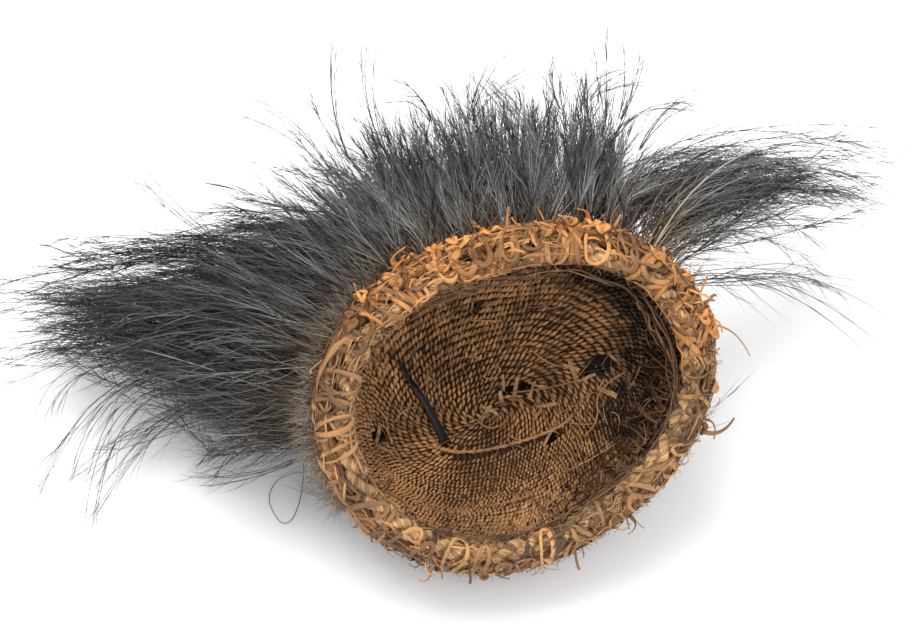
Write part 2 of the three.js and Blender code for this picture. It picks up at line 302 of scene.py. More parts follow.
def strand_mesh(name, rings, tone, along=None, start="flat", end="point", looped=False, tips=None):
    """One mesh from rings (N, K, S, 3) in room millimetres. An end is flat, or closes in a point."""
    count, steps, sides = rings.shape[:3]
    points = [rings.reshape(count, steps * sides, 3)]
    if along is None:
        along = np.linspace(0, 1, steps)
    along = np.broadcast_to(along, (count, steps))
    share = [np.repeat(along, sides, axis=1)]
    if start == "point" and not looped:
        points.append(2 * rings[:, :1].mean(2) - rings[:, 1:2].mean(2))
        share.append(along[:, :1])
    if end == "point" and not looped:
        if tips is None:
            tips = 2 * rings[:, -1].mean(1) - rings[:, -2].mean(1)
        points.append(tips[:, None])
        share.append(along[:, -1:])
    points, share = np.concatenate(points, 1), np.concatenate(share, 1)
    groups, each = tube_faces(steps, sides, start, end, looped)
    offset = (np.arange(count) * each)[:, None]
    corners = np.concatenate([(group.reshape(1, -1) + offset).ravel() for group in groups])
    sizes = np.concatenate([np.full(count * len(group), group.shape[1]) for group in groups])
    mesh = bpy.data.meshes.new(name)
    mesh.vertices.add(count * each)
    mesh.vertices.foreach_set("co", (points.reshape(-1) * MM).astype(np.float32))
    mesh.loops.add(len(corners))
    mesh.loops.foreach_set("vertex_index", corners.astype(np.int32))
    mesh.polygons.add(len(sizes))
    mesh.polygons.foreach_set("loop_start", (np.cumsum(sizes) - sizes).astype(np.int32))
    mesh.update(calc_edges=True)
    mesh.polygons.foreach_set("use_smooth", np.ones(len(sizes), bool))
    column = np.floor(np.clip(np.broadcast_to(tone, (count,)), 0, 0.999) * COLUMNS)
    spread = np.resize(0.2 + 0.6 * np.arange(sides) / sides, steps * sides)
    spread = np.concatenate([spread, np.full(each - steps * sides, 0.5)])
    u = (column[:, None] + spread[None]) / COLUMNS
    uv = np.stack([u.ravel()[corners], share.ravel()[corners]], -1)
    layer = mesh.uv_layers.new(name="OFBake")
    layer.data.foreach_set("uv", uv.ravel().astype(np.float32))
    piece = bpy.data.objects.new(name, mesh)
    bpy.context.scene.collection.objects.link(piece)
    print(f"{name}: {count} strands, {int((sizes - 2).sum())} triangles")
    return piece


# %% Pointed strands, and several meshes as one
def hairs(name, lines, radius, tone, along=None, sides=3):
    """Strands that end in a point, at the very end of their lines."""
    rings = tubes(lines, radius, sides)[:, :-1]
    return strand_mesh(name, rings, tone, along, tips=lines[:, -1])


def together(name, pieces):
    """Joins meshes into one piece."""
    bpy.ops.object.select_all(action="DESELECT")
    for piece in pieces:
        piece.select_set(True)
    bpy.context.view_layer.objects.active = pieces[0]
    bpy.ops.object.join()
    pieces[0].name = name
    pieces[0].data.name = name
    pieces[0].select_set(False)
    return pieces[0]


# %% [markdown]
# ## Strand materials
# A dyed or dried strand is never one colour. The material reads the strand map: one colour ramp runs
# along a dark strand and one along a light strand, and the strand's own tone mixes them. On the
# stitches the ramps also hold painted shade, and on the feathers painted sheen. A noise in the
# object's own space adds stains that cross the strands, and a finer one a little relief.

# %% Parts of a material
MIX_A, MIX_B, MIX_RESULT = 6, 7, 2  # a Mix node's sockets, when it mixes colours
STAIN_SCALE = 38.0
GRAIN_DEPTH = 0.0006  # metres


def linear(*rgb):
    """A colour of 0 to 255, as seen on a screen, as the shader wants it."""
    part = np.array(rgb) / 255
    low = part / 12.92
    high = ((part + 0.055) / 1.055) ** 2.4
    return (*np.where(part < 0.04045, low, high), 1.0)


def new_material(name, roughness, specular=0.5):
    """A new material, its nodes and links, and its shader."""
    material = bpy.data.materials.new(name)
    material.use_nodes = True
    shader = material.node_tree.nodes["Principled BSDF"]
    shader.inputs["Roughness"].default_value = roughness
    shader.inputs["Specular IOR Level"].default_value = specular
    return material, material.node_tree.nodes, material.node_tree.links, shader


def ramped(nodes, links, factor, stops):
    """A colour ramp: stops are rows of a place from 0 to 1 and a colour."""
    node = nodes.new("ShaderNodeValToRGB")
    elements = node.color_ramp.elements
    while len(elements) < len(stops):
        elements.new(0.5)
    for element, (place, colour) in zip(elements, stops):
        element.position = place
        element.color = colour
    links.new(factor, node.inputs["Fac"])
    return node.outputs["Color"]


def object_noise(nodes, links, scale, detail):
    """Noise in the object's own space, which stays where it is on the piece."""
    place = nodes.new("ShaderNodeTexCoord")
    noise = nodes.new("ShaderNodeTexNoise")
    noise.inputs["Scale"].default_value = scale
    noise.inputs["Detail"].default_value = detail
    links.new(place.outputs["Object"], noise.inputs["Vector"])
    return noise.outputs["Fac"]


def add_relief(nodes, links, shader, height, strength, depth):
    """Fine relief in the light only; the shape of the mesh stays."""
    bump = nodes.new("ShaderNodeBump")
    bump.inputs["Strength"].default_value = strength
    bump.inputs["Distance"].default_value = depth
    links.new(height, bump.inputs["Height"])
    links.new(bump.outputs["Normal"], shader.inputs["Normal"])


# %% A material for strands
def strand_material(name, dark, light, roughness, stain=0.0, relief=0.0, grain=900.0, specular=0.5):
    """dark and light are ramps along a strand; stain and relief are strengths, and grain, a scale."""
    material, nodes, links, shader = new_material(name, roughness, specular)
    strand_map = nodes.new("ShaderNodeUVMap")
    strand_map.uv_map = "OFBake"
    split = nodes.new("ShaderNodeSeparateXYZ")
    links.new(strand_map.outputs["UV"], split.inputs[0])
    mix = nodes.new("ShaderNodeMix")
    mix.data_type = "RGBA"
    links.new(split.outputs["X"], mix.inputs["Factor"])
    links.new(ramped(nodes, links, split.outputs["Y"], dark), mix.inputs[MIX_A])
    links.new(ramped(nodes, links, split.outputs["Y"], light), mix.inputs[MIX_B])
    colour = mix.outputs[MIX_RESULT]
    if stain:
        depth = nodes.new("ShaderNodeMapRange")
        depth.inputs["From Min"].default_value = 0.3
        depth.inputs["From Max"].default_value = 0.7
        depth.inputs["To Min"].default_value = 1.0 - stain
        depth.inputs["To Max"].default_value = 1.0 + stain * 0.5
        links.new(object_noise(nodes, links, STAIN_SCALE, 4.0), depth.inputs["Value"])
        scale = nodes.new("ShaderNodeVectorMath")
        scale.operation = "SCALE"
        links.new(colour, scale.inputs[0])
        links.new(depth.outputs["Result"], scale.inputs["Scale"])
        colour = scale.outputs["Vector"]
    if relief:
        add_relief(nodes, links, shader, object_noise(nodes, links, grain, 3.0), relief, GRAIN_DEPTH)
    links.new(colour, shader.inputs["Base Color"])
    return material


def finish(piece, material, slot, *nodes):
    """Dresses a piece, hangs it on the root body, and hides the fixed model's solids that it replaces."""
    piece.data.materials.clear()
    piece.data.materials.append(material)
    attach(piece, "root")
    if nodes:
        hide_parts(*nodes)


# %% Cord and vine finishes
# Both ramps are darker at a stitch's two ends: painted shade, where it tucks under its neighbours.
cord_brown = strand_material(
    "cord_brown",
    [(0, linear(14, 8, 5)), (0.3, linear(38, 24, 14)), (0.7, linear(34, 22, 13)), (1, linear(12, 7, 4))],
    [(0, linear(104, 68, 40)), (0.25, linear(206, 154, 104)), (0.7, linear(188, 135, 86)),
     (1, linear(84, 54, 30))],
    0.5, stain=0.4, relief=0.6, grain=1400.0, specular=0.45,
)
cord_pale = strand_material(
    "cord_pale",
    [(0, linear(36, 22, 13)), (1, linear(36, 22, 13))],
    [(0, linear(204, 160, 112)), (1, linear(204, 160, 112))],
    0.9, stain=0.6, relief=0.5, grain=1600.0,
)
vine = strand_material(  # along a strip runs from tan to orange
    "split_vine",
    [(0, linear(66, 44, 27)), (0.5, linear(80, 48, 24)), (1, linear(98, 54, 19))],
    [(0, linear(186, 138, 88)), (0.5, linear(204, 148, 90)), (1, linear(232, 158, 82))],
    0.7, stain=0.5, relief=0.7, grain=1100.0,
)
print("three cord and vine finishes made")

# %% [markdown]
# ## The wall
# Behind the stitches there has to be something that isn't see-through. It is a thin bowl, laid out
# as a grid of faces over the same curve. Faces inside the torn places are left out, and a Solidify
# modifier then gives the sheet its thickness, which also closes the edges of the holes.

# %% Torn places
TORN = [  # degrees round the cap, share down the wall, length, width, turn
    (354, 0.715, 22, 9, 60),
    (310, 0.9, 24, 4.5, 40),
    (200, 0.62, 13, 7, -64),
    (303, 0.695, 9, 5, 0),
    (101, 0.8, 8, 5, 0),
]


def in_a_hole(points, grow=0.0):
    """Which points of the cap's frame lie in a torn place, made larger by grow millimetres."""
    inside = np.zeros(points.shape[:-1], bool)
    for around, along, long, wide, turn in TORN:
        theta = math.radians(around)
        middle = wall_skin(theta, along)
        normal = wall_normal(theta, along)
        sideways = np.array([-math.sin(theta), math.cos(theta), 0.0])
        uphill = unit(np.cross(normal, sideways))
        x = (points - middle) @ sideways
        y = (points - middle) @ uphill
        c, s = math.cos(math.radians(turn)), math.sin(math.radians(turn))
        a = (x * c + y * s) / (long / 2 + grow)
        b = (y * c - x * s) / (wide / 2 + grow)
        near = np.abs((points - middle) @ normal) < 12
        frayed_edge = 1 + 0.18 * np.sin(5 * np.arctan2(b, a) + around)
        inside |= near & (a * a + b * b < frayed_edge)
    return inside


print("torn places:", len(TORN))


# %% Sheets of faces
def bowl_of_faces(name, grid, crown, left_out=None):
    """A sheet over a grid of points, rows by turns, closed at the crown by a fan."""
    rows, turns = grid.shape[:2]
    corner = np.arange(rows * turns).reshape(rows, turns)
    beside = np.roll(corner, -1, 1)
    cells = np.stack([corner[:-1], corner[1:], beside[1:], beside[:-1]], -1).reshape(-1, 4)
    points = np.vstack([grid.reshape(-1, 3), crown])
    if left_out:
        cells = cells[~left_out(points[cells].mean(1))]
    fan = [(int(beside[-1, k]), int(corner[-1, k]), corner.size) for k in range(turns)]
    mesh = bpy.data.meshes.new(name)
    mesh.from_pydata((to_room(points) * MM).tolist(), [], cells.tolist() + fan)
    mesh.shade_smooth()
    piece = bpy.data.objects.new(name, mesh)
    bpy.context.scene.collection.objects.link(piece)
    return piece


def thicken(piece, thickness, side):
    """Gives a sheet its thickness, in millimetres: outwards for side 1, inwards for side -1."""
    bpy.context.view_layer.objects.active = piece
    solid = piece.modifiers.new("thicken", "SOLIDIFY")
    solid.thickness = thickness * MM
    solid.offset = side
    bpy.ops.object.modifier_apply(modifier="thicken")
    print(f"{piece.name}: {len(piece.data.polygons)} faces")


# %% The wall, with a map of its rows
TURNS, ROWS = 180, 56
WALL_BACK = -0.4  # how far the sheet stands behind the solid's skin
grid_theta = round_turn(TURNS)
grid_along = np.linspace(0, 0.99, ROWS)
grid = wall_point(grid_theta[None, :], grid_along[:, None], WALL_BACK)
cap_wall = bowl_of_faces("cap_wall", grid, wall_point(0.0, 1.0, WALL_BACK), in_a_hole)
wall_corners = np.empty(len(cap_wall.data.loops), np.int32)
cap_wall.data.loops.foreach_get("vertex_index", wall_corners)
row_uv = np.stack([np.tile(grid_theta, ROWS) / 2 / np.pi, np.repeat(grid_along, TURNS)], -1)
row_uv = np.vstack([row_uv, (0.5, 1.0)])[wall_corners]
cap_wall.data.uv_layers.new(name="rows").data.foreach_set("uv", row_uv.ravel().astype(np.float32))
thicken(cap_wall, 2.0, -1.0)

# %% [markdown]
# ## Brown cloth between the stitches
# What shows between two stitches is more cord, further back and darker: its darkness is painted
# shade. A wave pattern on the map of the rows gives slanting bands there, and a slow noise darkens
# them in patches. Real cords would be hidden by the stitches, so a material is enough.

# %% Cloth finish
def cloth_material():
    material, nodes, links, shader = new_material("cord_shadow", 0.95)
    rows = nodes.new("ShaderNodeUVMap")
    rows.uv_map = "rows"
    stretch = nodes.new("ShaderNodeMapping")
    stretch.inputs["Scale"].default_value = (190.0, 31.0, 1.0)
    links.new(rows.outputs["UV"], stretch.inputs["Vector"])
    weave = nodes.new("ShaderNodeTexWave")
    weave.bands_direction = "DIAGONAL"
    weave.inputs["Scale"].default_value = 0.32
    weave.inputs["Distortion"].default_value = 1.2
    links.new(stretch.outputs["Vector"], weave.inputs["Vector"])
    # The bands' dark browns are painted shade between the stitches.
    bands = ramped(nodes, links, weave.outputs["Fac"], [(0, linear(42, 26, 14)), (1, linear(112, 74, 42))])
    mix = nodes.new("ShaderNodeMix")
    mix.data_type = "RGBA"
    mix.inputs[MIX_A].default_value = linear(30, 18, 10)
    links.new(object_noise(nodes, links, 45.0, 2.0), mix.inputs["Factor"])
    links.new(bands, mix.inputs[MIX_B])
    links.new(mix.outputs[MIX_RESULT], shader.inputs["Base Color"])
    add_relief(nodes, links, shader, weave.outputs["Fac"], 0.8, 0.001)
    return material


finish(cap_wall, cloth_material(), "cloth", "cap_shell")

# %% [markdown]
# ## Rows of twisted cord
# Worked cord shows as rows of short slanting stitches. Each stitch is one small pointed blob of
# thirty triangles, and the rows are one long spiral from the rim to a point a little in front of
# the crown, where the maker began. Stained places get darker tones; so do shaded places, as painted
# shade, and lit places get lighter ones, as painted light.

# %% A table down the wall
WALL_REACH = 85  # millimetres from the axis to the wall's upper edge, on average
table_along = np.linspace(0, 1, 400)
table_row = through(PROFILE, table_along)
table_length = np.concatenate([[0], np.cumsum(np.hypot(
    np.diff(table_row[:, 0]), WALL_REACH * np.diff(table_row[:, 1]),
))])
print("from the rim to the crown along the wall:", round(float(table_length[-1]), 1), "mm")


# %% Rows round a moved eye
EYE = (-6.0, -26.0)  # the spiral's eye lies in front of the crown
LEVEL = 0.42  # down to this share of the wall, the rows stay level
EYE_TURN = math.radians(12)  # of the long way of the oval rows round the eye


def between(value, low, high, soft):
    """1 from low to high, fading to 0 over soft outside them."""
    return smooth((value - low) / soft + 1) * smooth((high - value) / soft + 1)


def eye_shifted(theta, along):
    """Moves the spiral's eye forwards and stretches the rows round it."""
    skin = wall_skin(theta, along)
    fade = smooth((along - LEVEL) / (1 - LEVEL))
    c, s = math.cos(EYE_TURN), math.sin(EYE_TURN)
    long_way = skin[..., 0] * c + skin[..., 1] * s
    short_way = skin[..., 1] * c - skin[..., 0] * s
    long_way = long_way * (1 + 0.3 * fade)
    short_way = short_way * (1 - 0.12 * fade)
    x = long_way * c - short_way * s + EYE[0] * fade
    y = short_way * c + long_way * s + EYE[1] * fade
    new_theta = np.arctan2(y, x)
    share = np.hypot(x, y) / (rim_reach(new_theta) - WALL_INSET)
    fall = table_along > 0.2
    new_along = np.interp(share, table_row[fall, 1][::-1], table_along[fall][::-1])
    moved = fade > 0
    return np.where(moved, new_theta, theta), np.where(moved, new_along, along)


print("the spiral's eye, in the cap's frame:", EYE)


# %% Stitch places along one spiral
def uneven(points):
    """How far the cloth is pulled in and out by hand and wear, in millimetres."""
    x, y, z = np.moveaxis(points, -1, 0)
    wide = np.sin(x / 17 + 2.1 * np.sin(y / 23)) * np.sin(y / 15 + z / 19)
    fine = np.sin(x / 7 + y / 11) * np.sin(y / 6 - z / 8)
    return 1.3 * wide + 0.5 * fine


def spiral_places(step, stitch, low=1.5):
    """Angles and lengths down the wall of stitches, along one spiral."""
    thetas, lengths = [], []
    turn = 0
    while low + step * (turn + 1) < table_length[-1]:
        middle = low + step * (turn + 0.5)
        share = np.interp(middle, table_length, table_along)
        girth = 2 * np.pi * WALL_REACH * through(PROFILE, share)[1]
        count = max(int(girth / stitch), 4)
        theta = (np.arange(count) + 0.5 * (turn % 2)) / count * 2 * np.pi
        thetas.append(theta)
        lengths.append(low + step * (turn + theta / 2 / np.pi))
        turn += 1
    return np.concatenate(thetas), np.concatenate(lengths)


# %% One layer of stitches
def stitches(name, out, step, stitch, slant, half, wide, seed, keep, tone_of, shift=True):
    """out is how far off the wall they stand, step and stitch are the pitches down and along the
    rows, and half and wide, a stitch's length and width. Layers below -2 face the opening."""
    dice = np.random.default_rng(seed)
    theta, length = spiral_places(step, stitch)
    length = length + dice.normal(0, 0.24, len(theta))
    theta = theta + dice.normal(0, 0.003, len(theta))

    def place(t, s):
        along, stand = np.interp(s, table_length, table_along), out
        if shift:
            sway = smooth((0.93 - along) / 0.5)
            s = s + sway * (2.8 * np.sin(3 * t + s / 14) + 1.7 * np.sin(7 * t - s / 9))
            along = np.interp(s, table_length, table_along)
            t, along = eye_shifted(t, along)
            stand = stand - 0.9 + 1.1 * uneven(wall_skin(t, along))
        return wall_point(t, along, stand), t, along

    middle, real_theta, real_along = place(theta, length)
    sideways = unit(place(theta + 0.01, length)[0] - middle)
    inward = place(theta, length + 0.5)[0] - middle
    inward = unit(inward - (inward * sideways).sum(1, keepdims=True) * sideways)
    angle = np.radians(slant) + dice.normal(0, 0.16, len(theta))
    lean = sideways * np.cos(angle)[:, None] + inward * np.sin(angle)[:, None]
    facing = unit(np.cross(sideways, inward))
    outward = (facing * wall_normal(real_theta, real_along)).sum(1, keepdims=True)
    facing *= np.sign(outward) * np.sign(out + 2)
    # rows that lie closer or further apart than the pitch get smaller or larger stitches
    row_gap = np.linalg.norm(place(theta, length + step)[0] - middle, axis=1)
    stitch_gap = np.linalg.norm(place(theta + stitch / WALL_REACH, length)[0] - middle, axis=1)
    taller = np.clip(row_gap / step, 0.6, 1.35)
    broader = np.clip(stitch_gap / stitch * np.clip(1.15 - real_along * 0.1, 1, 1.15), 0.6, 1.3)
    size = half * dice.uniform(0.88, 1.12, len(theta))[:, None, None] * taller[:, None, None]
    reach = np.array([-0.5, 0.0, 0.5])[None, :, None]
    arch = np.array([0.0, 0.55, 0.0])[None, :, None] * taller[:, None, None]
    lift = dice.uniform(-0.15, 0.25, len(theta))[:, None, None]
    lines = middle[:, None] + lean[:, None] * reach * size + facing[:, None] * (arch + lift)
    fat = wide * dice.uniform(0.85, 1.15, len(theta)) * np.sqrt(taller * broader)
    fat = fat[:, None] * np.array([[0.8, 1.0, 0.8]])
    degrees = np.degrees(real_theta) % 360
    kept = keep(middle, degrees, real_along)
    tone = tone_of(middle, degrees, real_along) + dice.normal(0, 0.2, len(theta))
    rings = tubes(to_room(lines[kept]), fat[kept], sides=5, face=turned(facing[kept])[:, None])
    return strand_mesh(name, rings, tone[kept], along=[0.2, 0.5, 0.8], start="point", end="point")


# %% [markdown]
# ## Stitches inside the cap
# These are what the eye meets first. The rows open along one long crease, and are left out in the
# torn places. The tones are partly real stains and partly painted light and shade: dark under the
# upper rim and on the right, where the cord is stained and in shade, and lighter on the left and low
# down, where the light falls. Sines of the place are enough for such slow changes.

# %% Stitches inside
CREASE = (229.0, 312.0)  # from, to, in degrees round the cap
CREASE_HALF = 1.5  # millimetres, half of its width
HOLE_EDGE = 0.6  # millimetres kept free round a torn place


def half_turn(degrees):
    """The same angles, from -180 to 180."""
    return (degrees + 180) % 360 - 180


def crease_length(degrees):
    """How far down the wall the crease runs, at an angle."""
    share = np.clip((degrees - CREASE[0]) / (CREASE[1] - CREASE[0]), 0, 1)
    along = 0.725 - 0.03 * share + 0.035 * np.sin(np.pi * share)
    return np.interp(along, table_along, table_length)


def inside_keep(middle, degrees, along):
    own_length = np.interp(along, table_along, table_length)
    in_crease = (degrees > CREASE[0]) & (degrees < CREASE[1])
    in_crease &= np.abs(own_length - crease_length(degrees)) < CREASE_HALF
    return ~in_a_hole(middle, HOLE_EDGE) & ~in_crease


def inside_stain_and_shade(middle, degrees, along):
    turn = half_turn(degrees)
    tone = np.full(len(degrees), 0.66)
    # Darker on the right and under the upper rim: partly real stains, partly painted shade. Lighter on the
    # left and low down: painted light.
    tone -= 0.62 * between(turn, -24, 50, 22) * between(along, 0.0, 0.56, 0.16)
    tone -= 0.5 * between(turn, 34, 142, 22) * between(along, 0.0, 0.5, 0.22)
    tone += 0.22 * between(np.abs(turn), 140, 180, 25) * between(along, 0.0, 0.6, 0.2)
    tone -= 0.2 * between(turn, -56, -20, 20) * between(along, 0.0, 0.4, 0.16)
    tone += 0.1 * between(turn, -170, -60, 30) * between(along, 0.4, 1.0, 0.15)
    x, y, z = middle.T
    tone += 0.12 * np.sin(x / 9 + 2 * np.sin(y / 13)) + 0.1 * np.sin(y / 6 + x / 17 + z / 11)
    tone += 0.1 * np.sin(x / 3.1 + y / 5) * np.sin(y / 2.7 - x / 4)
    return tone


cap_weave = stitches("cap_weave", -3.0, 3.35, 2.3, 46, 2.5, 1.08, 11, inside_keep, inside_stain_and_shade)
finish(cap_weave, cord_brown, "cloth")

# %% [markdown]
# ## Stitches outside
# The outside is worked in the same cord. It is seen only below the rim in front, so its stitches
# are larger and fewer, and the same function makes them, with no crease and no moved eye.

# %% Stitches outside
def outside_keep(middle, degrees, along):
    return ~in_a_hole(middle, HOLE_EDGE)


def outside_tone(middle, degrees, along):
    return np.full(len(degrees), 0.42) + 0.1 * np.sin(middle[:, 0] / 8)


cap_outside = stitches(
    "cap_outside", 0.1, 5.2, 3.5, -50, 3.1, 1.35, 12, outside_keep, outside_tone, shift=False,
)
finish(cap_outside, cord_brown, "cloth")

# %% [markdown]
# ## The rim's two rolls
# The pale cord has two plies, and each ply is seven yarns, so it is fourteen lines that wind round
# lines that wind round the rim. The roll outside it is a plain bundle of six split vines. A whole
# number of turns makes each line meet itself.

# %% Lines that wind round the rim
def wound(inset, lift, winds, steps):
    """A closed line round the rim. winds are rows of radius, turns and phase, one inside another."""
    theta = round_turn(steps)
    out = np.zeros(steps)
    high = np.zeros(steps)
    for radius, turns, phase in winds:
        wave = 1 + 0.1 * np.sin(7 * theta + phase) + 0.06 * np.sin(19 * theta + 2 * phase)
        out += radius * wave * np.cos(turns * theta + phase)
        high += radius * wave * np.sin(turns * theta + phase)
    return polar(rim_reach(theta) - inset + out, theta, lift + high)


def loop_tubes(lines, radius, sides, flat=1.0, face=None):
    """Rings round closed lines: they are made a little past each end, and trimmed."""
    more = np.concatenate([lines[:, -2:], lines, lines[:, :2]], 1)
    if face is not None:
        face = np.concatenate([face[:, -2:], face, face[:, :2]], 1)
    return tubes(more, radius, sides, flat, face)[:, 2:-2]


# %% Pale cord
PLIES, YARNS_IN_PLY = 2, 7
dice = np.random.default_rng(21)
cord_lines = []
for ply in range(PLIES):
    for yarn in range(YARNS_IN_PLY):
        lie = yarn * 2 * np.pi / YARNS_IN_PLY + ply
        winds = [(2.7, CORD_TURNS, ply * np.pi), (2.1, -2 * CORD_TURNS, lie)]
        cord_lines.append(wound(CORD["inset"], CORD["lift"], winds, 460))
cord_rings = loop_tubes(to_room(np.array(cord_lines)), 1.1, 5)
pale_cord = strand_mesh("pale_cord", cord_rings, dice.uniform(0.3, 1.0, PLIES * YARNS_IN_PLY), looped=True)
finish(pale_cord, cord_pale, "cord", "rim_cord")

# %% Vine roll
VINES, VINE_STEPS = 6, 240
vine_lines = [
    wound(ROLL["inset"], ROLL["lift"], [(3.1, 12, k * np.pi / 3), (0.5, 31, k * 2.0)], VINE_STEPS)
    for k in range(VINES)
]
vine_rings = loop_tubes(to_room(np.array(vine_lines)), 2.25, 7)
vine_roll = strand_mesh("vine_roll", vine_rings, dice.uniform(0.1, 0.6, VINES), along=0.5, looped=True)
finish(vine_roll, vine, "vine", "rim_roll")

# %% [markdown]
# ## Split vine binding
# Flat strips of vine hold the two rolls together. Some run over the pale cord and back in the shape
# of a D, about one to each of its bulges. Some go right round both rolls, shorter ones lie across
# them, thin frayed yarns run along the rim, and a few are knotted on top. Bending each by hand would
# take days, so all follow one outline, round both rolls, measured by its own length.

# %% The outline round both rolls
QUARTER = 12  # points on a quarter of a turn
inner_roll = np.array([-CORD["inset"], CORD["lift"]])
outer_roll = np.array([-ROLL["inset"], ROLL["lift"]])
heading = math.atan2(*(outer_roll - inner_roll)[::-1])
turn_angle = np.concatenate([
    np.linspace(0, np.pi / 2, QUARTER), np.linspace(np.pi / 2, 3 * np.pi / 2, 2 * QUARTER),
    np.linspace(3 * np.pi / 2, 2 * np.pi, QUARTER),
]) + heading
roll_middle = np.array([outer_roll] * QUARTER + [inner_roll] * 2 * QUARTER + [outer_roll] * QUARTER)
out_way = np.stack([np.cos(turn_angle), np.sin(turn_angle)], -1)
outline = roll_middle + ROLL["radius"] * out_way
outline_length = np.concatenate([[0], np.cumsum(np.linalg.norm(np.diff(outline, axis=0), axis=1))])
outline_share = outline_length / outline_length[-1]
print("once round both rolls:", round(float(outline_length[-1]), 1), "mm")


def on_rim(theta, share, stand):
    """A point on the bound rim and the way that its surface faces. share runs from the outermost
    line over the top to the inside, under, and back, from 0 to 1."""
    share = np.asarray(share) % 1
    x = np.interp(share, outline_share, outline[:, 0])
    z = np.interp(share, outline_share, outline[:, 1])
    nx = np.interp(share, outline_share, out_way[:, 0])
    nz = np.interp(share, outline_share, out_way[:, 1])
    point = polar(rim_reach(theta) + x + stand * nx, theta, z + stand * nz)
    return point, polar(nx, theta, nz)


# %% Flat strips on that outline
def on_top(theta):
    """1 where the binding is thick and orange, along the upper edge, and 0 elsewhere."""
    return between(half_turn(np.degrees(theta)), 14, 136, 28)


def ragged(shape, size, dice):
    """A slow wander along each strip, so that none runs true."""
    t = np.linspace(0, 1, shape[1])[None, :]
    wander = np.zeros(shape)
    for waves in (1, 2, 3):
        wander += dice.normal(0, size / waves, (shape[0], 1)) * np.sin(
            2 * np.pi * (waves * t + dice.uniform(0, 1, (shape[0], 1))))
    return wander


def strips(name, theta, share, stand, wide, tone, looped=False, flat=0.17, sides=6, orange=0.75):
    """Strips (N, K) of points on the outline. Open ones are uneven in width, and twist."""
    points, facing = on_rim(theta, share, stand)
    lines, face = to_room(points), turned(facing)
    radius = np.broadcast_to(wide, lines.shape[:2])[:, :1] / 2
    if not looped:
        radius = radius * np.clip(1 + ragged(lines.shape[:2], 0.22, dice), 0.4, 1.6)
        edge = unit(np.cross(np.gradient(lines, axis=1), face))
        face = unit(face + edge * ragged(lines.shape[:2], 0.4, dice)[..., None])
    make = loop_tubes if looped else tubes
    rings = make(lines, radius, sides, flat, face)
    middle = theta.mean(1)
    hue = 0.1 + orange * on_top(middle) + dice.normal(0, 0.14, len(middle))
    return strand_mesh(name, rings, tone, np.clip(hue, 0, 1)[:, None], looped=looped, end="flat")


def scattered(count, bare):
    """Angles round the rim, thicker along the upper edge; bare is the share kept elsewhere."""
    angles = dice.uniform(-np.pi, np.pi, count * 4)
    kept = dice.uniform(0, 1, count * 4) < bare + (1 - bare) * on_top(angles)
    return angles[kept][:count][:, None]


# %% D-shaped loops
dice = np.random.default_rng(31)
LOOPS = 42
t = np.linspace(0, 1, 30)[None, :]
at = (np.arange(LOOPS) + dice.uniform(-0.3, 0.3, LOOPS))[:, None] / LOOPS * 2 * np.pi
bulge = dice.uniform(0.04, 0.1, LOOPS)[:, None] + 0.04 * on_top(at)
slip = dice.normal(0, 0.05, LOOPS)[:, None]
d_theta = at + bulge * np.cos(np.pi * t) * np.sqrt(np.sin(np.pi * t)) + slip * np.sin(np.pi * t)
d_theta = d_theta + ragged(d_theta.shape, 0.006, dice)
d_share = dice.uniform(0.34, 0.56, LOOPS)[:, None] * np.sin(np.pi * t) ** 0.6
d_stand = 0.3 + 0.7 * np.sin(np.pi * t) + dice.uniform(0, 0.5, LOOPS)[:, None]
d_stand = d_stand + ragged(d_theta.shape, 0.25, dice)
d_wide = dice.uniform(1.6, 2.9, LOOPS)[:, None] + 0.5 * on_top(at)
d_loops = strips(
    "d_loops", d_theta, d_share, d_stand, d_wide, dice.uniform(0.1, 0.95, LOOPS), orange=0.4,
)

# %% Wraps right round both rolls
WRAPS, WRAP_STEPS = 62, 34
t = (np.arange(WRAP_STEPS) / WRAP_STEPS)[None, :]
at = scattered(WRAPS, 0.45)
lean = dice.normal(0, 0.08, WRAPS)[:, None]
w_theta = at + lean * np.sin(2 * np.pi * t + dice.uniform(0, 6, WRAPS)[:, None])
w_theta = w_theta + 0.007 * np.sin(6 * np.pi * t + at * 31)
w_share = np.broadcast_to(t, w_theta.shape)
w_stand = 0.2 + 0.4 * dice.uniform(0, 1, WRAPS)[:, None] + 0.4 * np.sin(4 * np.pi * t + at * 9)
w_wide = dice.uniform(1.4, 2.8, WRAPS)[:, None] + 0.6 * on_top(at)
wraps = strips("wraps", w_theta, w_share, w_stand, w_wide, dice.uniform(0.0, 0.8, WRAPS), looped=True)

# %% Short strips across the top
HALF = 130
t = np.linspace(0, 1, 16)[None, :]
at = scattered(HALF, 0.55)
h_theta = at + dice.normal(0, 0.12, HALF)[:, None] * (t - 0.5)
h_theta = h_theta + ragged(h_theta.shape, 0.006, dice)
h_share = dice.uniform(-0.25, 0.14, HALF)[:, None] + dice.uniform(0.1, 0.34, HALF)[:, None] * t
h_stand = 0.2 + 1.8 * np.sin(np.pi * t) * dice.uniform(0.1, 1, HALF)[:, None]
h_wide = dice.uniform(1.2, 3.4, HALF)[:, None] + 0.9 * on_top(at)
half_wraps = strips("half_wraps", h_theta, h_share, h_stand, h_wide, dice.uniform(0.0, 1.0, HALF))

# %% Places for the knots
MEAN_REACH = 95  # millimetres from the axis to the rim, on average
KNOTS = 32
t = round_turn(16)[None, :]
at = scattered(KNOTS, 0.12)
size = dice.uniform(1.2, 2.7, KNOTS)[:, None]
ply = 1 + 0.3 * np.sin(2 * t + at * 13)
k_theta = at + size * ply * np.cos(t) / MEAN_REACH
k_share = dice.uniform(-0.04, 0.26, KNOTS)[:, None] + size * ply * np.sin(t) / outline_length[-1]
k_stand = 1.0 + dice.uniform(0, 1.8, KNOTS)[:, None] + 1.3 * np.sin(2 * t + at * 7)
print("knots from", round(float(size.min()), 1), "to", round(float(size.max()), 1), "mm in radius")

